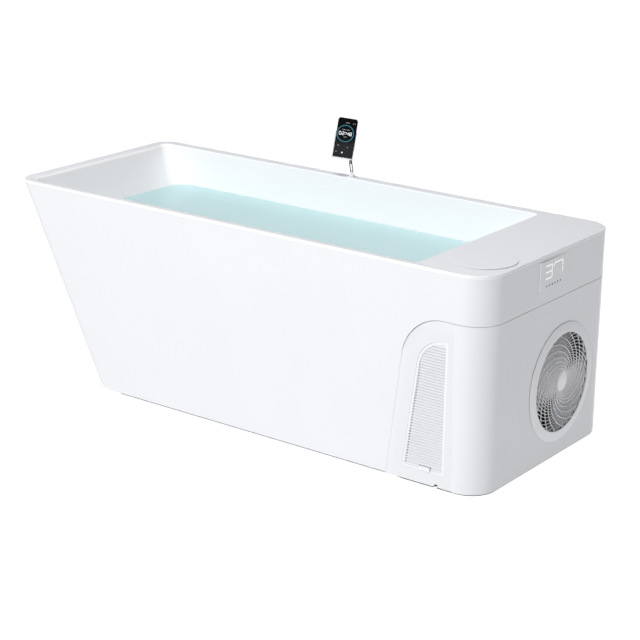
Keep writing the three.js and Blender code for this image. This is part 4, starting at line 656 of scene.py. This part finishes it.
DIGIT_Z, DIGIT_H = 626, 46
bars = [[(y + a, DIGIT_Z + b) for a, b in bar]
        for digit, y, width in (("3", -64, 46), ("7", -10, 60)) for bar in strokes(digit, width, DIGIT_H, STROKE)]
digit_bars = merged([prism(bar, END - FACE_BACK - 0.2, END - 0.02, "x") for bar in bars])
white_lamps = lit_ink("lit_white_diffuser", "ffffff", 0.3)
lit_digits = outward(shape("display_digits", *on_panel(digit_bars), white_lamps, smooth=False))
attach(lit_digits, "tub")
KEYS, KEY_R, KEY_Z = 6, 3.3, 604
key_ink = moulded("screen_printed_grey_ink", ("33373b", "3f4347"), 0.5, 0.6, 0.01)
dots = []
for key in range(KEYS):
    turns = np.linspace(0, 2 * math.pi, 14, endpoint=False)
    y = -50 + key * 87 / (KEYS - 1)
    dots.append(prism([(y + KEY_R * math.cos(a), KEY_Z + KEY_R * math.sin(a)) for a in turns], END - FACE_BACK - 0.2,
                      END - 0.04, "x"))
keys = outward(shape("display_keys", *on_panel(merged(dots)), key_ink, smooth=False))
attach(keys, "tub")

# Lower cover: a wrap-round shell, moulded like the skirt, that pulls off the equipment end. A shallow field is pressed into each
# side round the vent: it starts at the seam, ends in a soft step by the corner and runs out to nothing at the top.
COVER_GAP = 4
SEAM_AT = ((0, 0.3), (420, 0.3), (480, 1.6), (515, 2.0), (546, 1.4))
FIELD_DEPTH, FIELD_FADE_FROM = 3.0, 478
RAMP_SHARE, RAMP_FROM, RAMP_RISE, RAMP_RUN = 0.88, 390, 70, 36
STEP_LOW, STEP_RUN, STEP_SOFT = 872, 15, 2.2
NOTCH_X, NOTCH_W, NOTCH_H = END - 158, 18, 9
FAN_Y, FAN_Z, FAN_HOLE_R = 81, 253, 190.4
VENT_RIGHT, VENT_FOOT, VENT_SHOULDER = END - 140, END - 278, END - 236
VENT_BOTTOM, VENT_TOP, VENT_R, VENT_FRAME, VENT_SWELL = 54, 472, 92, 8, 0.7
CORNER_FROM = END - END_CORNER_R
CORNER_RUN = END_CORNER_R * math.pi / 2
HALF_RUN = CORNER_FROM + CORNER_RUN + SIDE - END_CORNER_R


def wrap(run, inset):
    """A place on the tub's outline from its distance along the front and round the corner, and its outward side."""
    run = np.asarray(run, float)
    turn = np.clip((run - CORNER_FROM) / END_CORNER_R, 0, math.pi / 2)
    out = np.stack([np.sin(turn), -np.cos(turn)], -1)
    middle = np.stack([np.minimum(run, CORNER_FROM), np.full_like(run, END_CORNER_R - SIDE)], -1)
    middle[..., 1] += np.maximum(run - CORNER_FROM - CORNER_RUN, 0)
    return middle + out * (END_CORNER_R - np.asarray(inset)[..., None])


def cover_left(z):
    rise = COVER_TOP - ARCH_R
    seam = np.interp(z, *zip(*SEAM_AT))
    if z > rise:
        return END - COVER_SHOULDER + ARCH_R - math.sqrt(max((ARCH_R - seam) ** 2 - (z - rise) ** 2, 0))
    return END - COVER_SHOULDER + seam - (COVER_FOOT - COVER_SHOULDER) * (rise - z) / rise


def cover_row(z):
    """Distances along the outline and depths of the field, from the seam to the middle of the end face."""
    left = cover_left(z)
    step = STEP_LOW - STEP_RUN * (z - COVER_GAP) / COVER_TOP
    near = left + np.array([0, 1, 3, 6])
    across = np.linspace(left + 12, step - 14, 12)
    roll = step + np.array([-8, -5, -3, -1.5, 0, 1.5, 3, 5, 8])
    corner = np.linspace(step + 14, CORNER_FROM + CORNER_RUN, 20)
    runs = np.concatenate([near, across, roll, corner, np.linspace(CORNER_FROM + CORNER_RUN, HALF_RUN, 6)[1:]])
    fade = 1 - soft((z - FIELD_FADE_FROM) / (COVER_TOP - FIELD_FADE_FROM))
    depth = FIELD_DEPTH * fade * (1 - soft((runs - step + STEP_SOFT) / (2 * STEP_SOFT)))
    low_down = 1 - soft((z - RAMP_FROM) / RAMP_RISE)
    depth *= 1 - RAMP_SHARE * low_down * (1 - soft((runs - left) / RAMP_RUN))
    return runs, depth


def cover_shell():
    rise = COVER_TOP - ARCH_R
    heights = np.concatenate([np.linspace(COVER_GAP, rise, 16),
                              rise + (ARCH_R - SEAM_AT[-1][1]) * np.sin(np.linspace(0, math.pi / 2, 19)[1:])])
    layers = []
    for back in (False, True):
        rows = []
        for z in heights:
            runs, depth = cover_row(z)
            flat = wrap(runs, np.full(len(runs), SKIRT_WALL) if back else depth)
            half = np.column_stack([flat, np.full(len(flat), z)])
            rows.append(np.concatenate([half, (half * (1, -1, 1))[-2::-1]]))
        layers.append(np.array(rows))
    rows, columns = layers[0].shape[:2]
    at = lambda layer, i, j: (layer * rows + i) * columns + j
    faces = []
    for i in range(rows - 1):
        for j in range(columns - 1):
            faces.append((at(0, i, j), at(0, i, j + 1), at(0, i + 1, j + 1), at(0, i + 1, j)))
            faces.append((at(1, i, j), at(1, i + 1, j), at(1, i + 1, j + 1), at(1, i, j + 1)))
    rim = [(0, j) for j in range(columns)] + [(i, columns - 1) for i in range(1, rows)]
    rim += [(rows - 1, j) for j in range(columns - 2, -1, -1)] + [(i, 0) for i in range(rows - 2, 0, -1)]
    for (i, j), (k, l) in zip(rim, rim[1:] + rim[:1]):
        faces.append((at(0, i, j), at(1, i, j), at(1, k, l), at(0, k, l)))
    return np.concatenate([layer.reshape(-1, 3) for layer in layers]), faces


def vent_left(z):
    rise = VENT_TOP - VENT_R
    if z > rise:
        return VENT_SHOULDER + VENT_R - math.sqrt(max(VENT_R ** 2 - (z - rise) ** 2, 0))
    return VENT_SHOULDER - (VENT_SHOULDER - VENT_FOOT) * (rise - z) / (rise - VENT_BOTTOM)


def vent_outline(grow, swell=0, steps=28):
    rise = VENT_TOP - VENT_R
    turns = np.linspace(math.pi / 2, math.pi, steps + 1)
    radii = VENT_R + grow + swell * np.sin(np.linspace(0, math.pi, steps + 1))
    curve = [(VENT_SHOULDER + VENT_R + r * math.cos(a), rise + r * math.sin(a)) for r, a in zip(radii, turns)]
    return [(VENT_RIGHT + grow, VENT_BOTTOM - grow), (VENT_RIGHT + grow, VENT_TOP + grow)] + curve + [
        (VENT_FOOT - grow, VENT_BOTTOM - grow)]


def facing_end(solid, place):
    """Turns a body drawn about Z so that its top faces the end of the tub."""
    points, faces = solid
    points = np.asarray(points, float)
    return points[:, [2, 0, 1]] + np.array(place), faces


# Gelcoat again, with painted shade in the pressed field: its colour turns a shade greyer the deeper the field is
# sunk, up to the corner of the end
cover_gelcoat, tree, shader = finish_of("gelcoat_with_painted_field_shade", 0.24, 1.49)
place, _ = grained(tree, shader, ("e1e3e7", "e5e7eb"), 300, 22.0, 0.05, 0.05)
where = add(tree, "ShaderNodeSeparateXYZ", {}, [(0, place.outputs["Object"])])
aside = add(tree, "ShaderNodeMath", {"operation": "ABSOLUTE"}, [(0, where.outputs["Y"])])
sunk = add(tree, "ShaderNodeMapRange", {"From Min": SIDE / 1000 - 0.0002, "From Max": (SIDE - FIELD_DEPTH) / 1000},
           [("Value", aside.outputs[0])])
before_corner = add(tree, "ShaderNodeMath", {"operation": "LESS_THAN"}, [(0, where.outputs["X"])])
before_corner.inputs[1].default_value = (CORNER_FROM - TUB_BACK) / 1000
# painted shade in the recess: darker where the field lies deeper, only before the corner
painted_field_shade = add(tree, "ShaderNodeMath", {"operation": "MULTIPLY"},
           [(0, sunk.outputs["Result"]), (1, before_corner.outputs[0])])
toned = add(tree, "ShaderNodeMix", {"data_type": "RGBA"}, [("Factor", painted_field_shade.outputs[0])])
before, after = [s for s in toned.inputs if s.type == "RGBA"]
tree.links.new(shader.inputs["Base Color"].links[0].from_socket, before)
after.default_value = linear("dfe1e5")
tree.links.new([s for s in toned.outputs if s.type == "RGBA"][0], shader.inputs["Base Color"])
cover = shape("lower_cover_shell", *cover_shell(), cover_gelcoat)
notch = [(NOTCH_X - NOTCH_W / 2, -2), (NOTCH_X + NOTCH_W / 2, -2), (NOTCH_X + NOTCH_W / 2, COVER_GAP),
         (NOTCH_X + NOTCH_W / 4, COVER_GAP + NOTCH_H), (NOTCH_X - NOTCH_W / 4, COVER_GAP + NOTCH_H),
         (NOTCH_X - NOTCH_W / 2, COVER_GAP)]
fan_hole = turned([(0, -30), (FAN_HOLE_R, -30), (FAN_HOLE_R, 4), (0, 4)], 128)
cut_away(cover, shape("vent_cut", *prism(vent_outline(VENT_FRAME, VENT_SWELL), -WIDTH, WIDTH, "y"), None),
         shape("notch_cut", *prism(notch, -WIDTH, WIDTH, "y"), None),
         shape("fan_cut", *facing_end(fan_hole, (END, FAN_Y, FAN_Z)), None))
soften(cover, 1.0, 40, 3, kept=lambda p: COVER_GAP + 12 < p.z < CRISP_TO and p.x < VENT_RIGHT + 12
       or math.hypot(p.y - FAN_Y, p.z - FAN_Z) < FAN_HOLE_R + 1)
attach(cover, "cover")
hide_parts("lower_cover")

# Vent panels: moulded ABS louvres that unclip from each side of the cover. Thin slats slope down and out,
# they stop just short of the slanted side, and a tab at the foot is pulled to free the panel.
VENT_GAP, VENT_PLATE, VENT_INSET = 0.3, 4, 0.5
SLAT_PITCH, SLAT_SHORT, LAST_SLAT = 9.4, 5.2, 7.5
SLAT = [(0.2, 0.0), (0.2, 1.1), (4.0, 7.2), (4.7, 6.6), (4.7, 5.6), (1.2, 0.0)]
LUG_LOW, LUG_HIGH, LUG_DEPTH = 0.3, 5.6, (0.3, 3.4)
TAB_FROM, TAB_TO, TAB_LOW, TAB_HIGH, TAB_OUT = END - 222, END - 182, 47.5, 61.5, 2
TAB_GAP = 1.8
mesh_nylon = moulded("woven_black_nylon_mesh", ("2b2d30", "3a3c40"), 0.8, 1.6, 0.4)
vent_abs = moulded("fine_textured_white_abs", ("e5e7eb", "e9ebee"), 0.42, 0.8, 0.02)


def vent_panel(name, direction):
    face = SIDE - FIELD_DEPTH - VENT_INSET
    across = lambda depth: direction * (face - depth)
    plate = shape(name, *prism(vent_outline(VENT_FRAME - VENT_GAP), across(0), across(VENT_PLATE), "y"), vent_abs)
    slats = []
    for z in np.arange(VENT_BOTTOM + 1, VENT_TOP - 1, SLAT_PITCH).tolist() + [VENT_TOP - LAST_SLAT]:
        gap = 1 - soft((z - VENT_TOP + VENT_R + 10) / 50)
        left = vent_left(z + 4 * gap - 2 * (1 - gap)) + SLAT_SHORT * gap
        section = np.array([(across(depth), z + rise) for depth, rise in SLAT])
        slats.append(prism(section, left, VENT_RIGHT + 1, "x"))
        lug = [(across(depth), z + rise) for depth in LUG_DEPTH for rise in (LUG_LOW, LUG_HIGH)]
        slats.append(prism([lug[k] for k in (0, 1, 3, 2)], left - SLAT_SHORT - 1, left + 1, "x"))
    cut_away(plate, shape("louvre_cut", *prism(vent_outline(0), across(-5), across(20), "y"), None))
    blades = outward(shape("slats", *merged(slats), vent_abs, smooth=False))
    tab_room = rounded_oblong(TAB_FROM - TAB_GAP, TAB_TO + TAB_GAP, TAB_LOW + 2, TAB_HIGH + TAB_GAP, 1)
    for part in (plate, blades):
        cut_away(part, shape("tab_cut", *prism(tab_room, across(-5), across(20), "y"), None))
    tab = outward(shape("tab", *prism(rounded_oblong(TAB_FROM, TAB_TO, TAB_LOW, TAB_HIGH, 2), across(-TAB_OUT),
                                      across(VENT_PLATE - 1), "y"), vent_abs))
    with bpy.context.temp_override(active_object=plate, selected_editable_objects=[plate, blades, tab]):
        bpy.ops.object.join()
    soften(plate, 0.5, 40, kept=lambda p: True)
    return plate


for side, direction in (("front", -1), ("rear", 1)):
    panel = vent_panel(f"louvred_vent_{side}", direction)
    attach(panel, f"vent_{side}")
    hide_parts(f"vent_panel_{side}")
    dress(f"air_filter_{side}", mesh_nylon, 0.3)

# Fan bezel: a ring of moulded ABS that rises gently out of the end face, clipped into the cover from inside.
# Its flange stands a millimetre off the face, which leaves a fine shadow.
GRILLE_R, GRILLE_BACK = 163, -5
bezel_profile = [(190, 1.1), (197.6, 1.1), (198, 1.5), (197.7, 2.0), (195.5, 2.5), (191, 3.3), (186, 4.2), (180, 5.2),
                 (174, 6.0), (169, 6.6), (166, 6.85), (164.8, 6.75), (164.1, 6.2), (163.8, 5.2), (164.2, 2.5),
                 (178, -4), (188, -11.3), (202, -11.3), (202, -6.3), (190, -6.3)]
bezel_body = facing_end(turned(bezel_profile + bezel_profile[:1], 128), (END, FAN_Y, FAN_Z))
bezel = outward(shape("fan_bezel_ring", *bezel_body, white_abs))
soften(bezel, 0.4, 50)
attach(bezel, "cover")
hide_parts("fan_bezel")

# Fan grille: one moulding of two sets of ribs that wind opposite ways between a hub and a thin outer ring.
# The front ribs are thin bars, and the back ones are deep thin walls that guide the air.
HUB_R = 34
FRONT_RIBS, FRONT_WIND, FRONT_W, FRONT_SPAN = 18, 1.75, 1.6, (5.0, 6.8)
BACK_RIBS, BACK_WIND, BACK_W, BACK_SPAN = 34, -2.1, 1.5, (-2.0, 4.9)


def spiral_rib(start, wind, width, span, steps=30):
    """A bar along a spiral whose radius grows evenly with its turn, from the hub to the ring."""
    radii = np.geomspace(HUB_R - 4, GRILLE_R - 0.6, steps)
    turn = start + wind * np.log(radii / GRILLE_R)
    out = np.stack([np.cos(turn), np.sin(turn)], 1)
    side = np.stack([-np.sin(turn), np.cos(turn)], 1)
    normal = (side - wind * out) / math.sqrt(1 + wind * wind) * width / 2
    rings = []
    for r, o, n in zip(radii, out, normal):
        low, high = r * o - n, r * o + n
        rings.append(np.array([(*low, span[0]), (*high, span[0]), (*high, span[1]), (*low, span[1])]))
    return skin(rings)


ribs = [spiral_rib(2 * math.pi * i / FRONT_RIBS, FRONT_WIND, FRONT_W, FRONT_SPAN) for i in range(FRONT_RIBS)]
ribs += [spiral_rib(2 * math.pi * i / BACK_RIBS, BACK_WIND, BACK_W, BACK_SPAN) for i in range(BACK_RIBS)]
ribs.append(turned([(0, GRILLE_BACK), (HUB_R, GRILLE_BACK), (HUB_R, 2.4), (HUB_R - 3, 4), (HUB_R - 9, 5.6),
                    (HUB_R - 20, 6.6), (0, 6.9)], 64))
ribs.append(turned([(161.8, -2), (GRILLE_R, -2), (GRILLE_R, 0), (161.8, 0), (161.8, -2)], 128))
bright_abs = moulded("polished_white_abs", ("f3f4f7", "f7f7fa"), 0.3, 0.9, 0.01)
grille = outward(shape("fan_grille_ribs", *facing_end(merged(ribs), (END, FAN_Y, FAN_Z)), bright_abs, smooth=False))
soften(grille, 0.3, 50)
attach(grille, "cover")
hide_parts("fan_grille")

# Handset holder on the rear rim: a foot and a cradle in white ABS, joined by a slotted link of steel.
# The link is plated in gunmetal, which gives it a dark even shine.
gunmetal, tree, shader = finish_of("gunmetal_plated_steel", 0.35, metallic=1.0)
grained(tree, shader, ("3c3e42", "484a4e"), 14, 1.5, 0.02, 0.2)
dress("holder_base", white_abs, 0.6)
dress("holder_arm", gunmetal, 0.5)
dress("cradle", white_abs, 0.5)

# Handset: a black anodised case with a glass front, which stands in the cradle.
# Its screen shows a ring and a running time above four keys.
HANDSET_W, HANDSET_H, HANDSET_THICK, HANDSET_R, HANDSET_RIGHT = 70, 143, 8, 9, 3
GLASS_EDGE, GLASS_BACK = 1.6, 0.3
tray = (Matrix.Translation((-72, SIDE - 23, HEIGHT + BOND)) @ Matrix.Rotation(math.radians(36), 4, "Z")
        @ Matrix.Translation((40 * math.sin(math.radians(-8)), 0, 15 + 40 * math.cos(math.radians(-8))))
        @ Matrix.Rotation(math.radians(8.3), 4, "Y") @ Matrix.Translation((0, 4.3, 9))
        @ Matrix.Rotation(math.radians(-4), 4, "X"))


def in_tray(solid):
    points, faces = solid
    return moved(points, tray.to_translation(), tray), faces


black_anodise, tree, shader = finish_of("bead_blasted_black_anodise", 0.4, metallic=1.0)
grained(tree, shader, ("1b1c1e", "242527"), 30, 0.6, 0.01, 0.2)
left, right = HANDSET_RIGHT - HANDSET_W, HANDSET_RIGHT
case_outline = rounded_oblong(left, right, 0, HANDSET_H, HANDSET_R, 8)
case_body = in_tray(prism(case_outline, GLASS_BACK - HANDSET_THICK, 0, "y"))
handset = outward(shape("handset_case", *case_body, black_anodise))
soften(handset, 1.2, 40, 3)
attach(handset, "handset_body")
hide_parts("handset")

screen_glass, tree, shader = finish_of("coated_cover_glass", 0.08, 1.16)
place = add(tree, "ShaderNodeTexCoord", {})
upward = tray.to_3x3() @ Vector((0, 0, 1))
foot = (tray.to_translation() - Vector((TUB_BACK, 0, 0))) / 1000
height = add(tree, "ShaderNodeVectorMath", {"operation": "DOT_PRODUCT"}, [(0, place.outputs["Object"])])
height.inputs[1].default_value = upward
shade = add(tree, "ShaderNodeMapRange", {"From Min": foot.dot(upward) + 0.045, "From Max": foot.dot(upward) + 0.075},
            [("Value", height.outputs["Value"])])
screen_tone = add(tree, "ShaderNodeMix", {"data_type": "RGBA"}, [("Factor", shade.outputs["Result"])])
for socket, code in zip([s for s in screen_tone.inputs if s.type == "RGBA"], ("2c2c2e", "020203")):
    socket.default_value = linear(code)
tree.links.new([s for s in screen_tone.outputs if s.type == "RGBA"][0], shader.inputs["Base Color"])
glass_outline = rounded_oblong(left + GLASS_EDGE, right - GLASS_EDGE, GLASS_EDGE, HANDSET_H - GLASS_EDGE,
                               HANDSET_R - GLASS_EDGE, 8)
glass_body = in_tray(prism(glass_outline, 0.12 - HANDSET_THICK, GLASS_BACK + 0.2 - HANDSET_THICK, "y"))
glass = outward(shape("handset_screen", *glass_body, screen_glass, smooth=False))
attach(glass, "handset_body")


def on_screen(outline):
    return prism(outline, -HANDSET_THICK, 0.2 - HANDSET_THICK, "y")


RING_X, RING_Z, RING_R, RING_W = left + 32, 88.5, 30.5, 2.8
turns = np.linspace(0, 2 * math.pi, 64, endpoint=False)
rim_of = lambda r, y: np.array([(RING_X + r * math.cos(a), y, RING_Z + r * math.sin(a)) for a in turns])
front_y, back_y = -HANDSET_THICK, 0.2 - HANDSET_THICK
ring_rings = [rim_of(RING_R, back_y), rim_of(RING_R, front_y), rim_of(RING_R - RING_W, front_y),
              rim_of(RING_R - RING_W, back_y)]
dial = outward(shape("handset_ring", *in_tray(skin(ring_rings, closed=True)),
                     lit_ink("lit_teal_pixels", "2f6b7f", 0.45), smooth=False))
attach(dial, "handset_body")
DIGIT_W, TIMER_H, TIMER_STROKE = 8.7, 12.5, 1.6
timer = []
x = RING_X - 23
for digit in "02:48":
    if digit == ":":
        timer += [on_screen(rounded_oblong(x, x + 2.2, RING_Z + z, RING_Z + z + 2.2, 0.8)) for z in (-4, 2)]
        x += 4.4
    else:
        timer += [on_screen([(x + a, RING_Z - TIMER_H / 2 + b) for a, b in bar])
                  for bar in strokes(digit, DIGIT_W, TIMER_H, TIMER_STROKE)]
        x += DIGIT_W + 2.1
# Small type and keys, as (from the left edge, height, width, tall)
FAINT = [(26, 102, 14, 2.2), (41, 102, 9, 2.2), (33, 76, 13, 2), (35, 127, 13, 2.2), (55, 126, 3.4, 3.4),
         (62, 126, 3, 3), (13.5, 44, 5, 3.6), (47, 40, 4, 3.6), (9.5, 21.5, 4.4, 3.4)]
faint = [on_screen(rounded_oblong(left + a - w / 2, left + a + w / 2, z - h / 2, z + h / 2, h * 0.4))
         for a, z, w, h in FAINT]
timer.append(on_screen(rounded_oblong(left + 28.6, left + 33.4, 17.6, 22.4, 2)))
for name, bodies, ink in (("handset_timer", timer, lit_ink("lit_white_pixels", "f4f6f8", 0.6)),
                          ("handset_keys", faint, lit_ink("dim_white_pixels", "8c8f93", 0.35))):
    lit = outward(shape(name, *in_tray(merged(bodies)), ink, smooth=False))
    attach(lit, "handset_body")
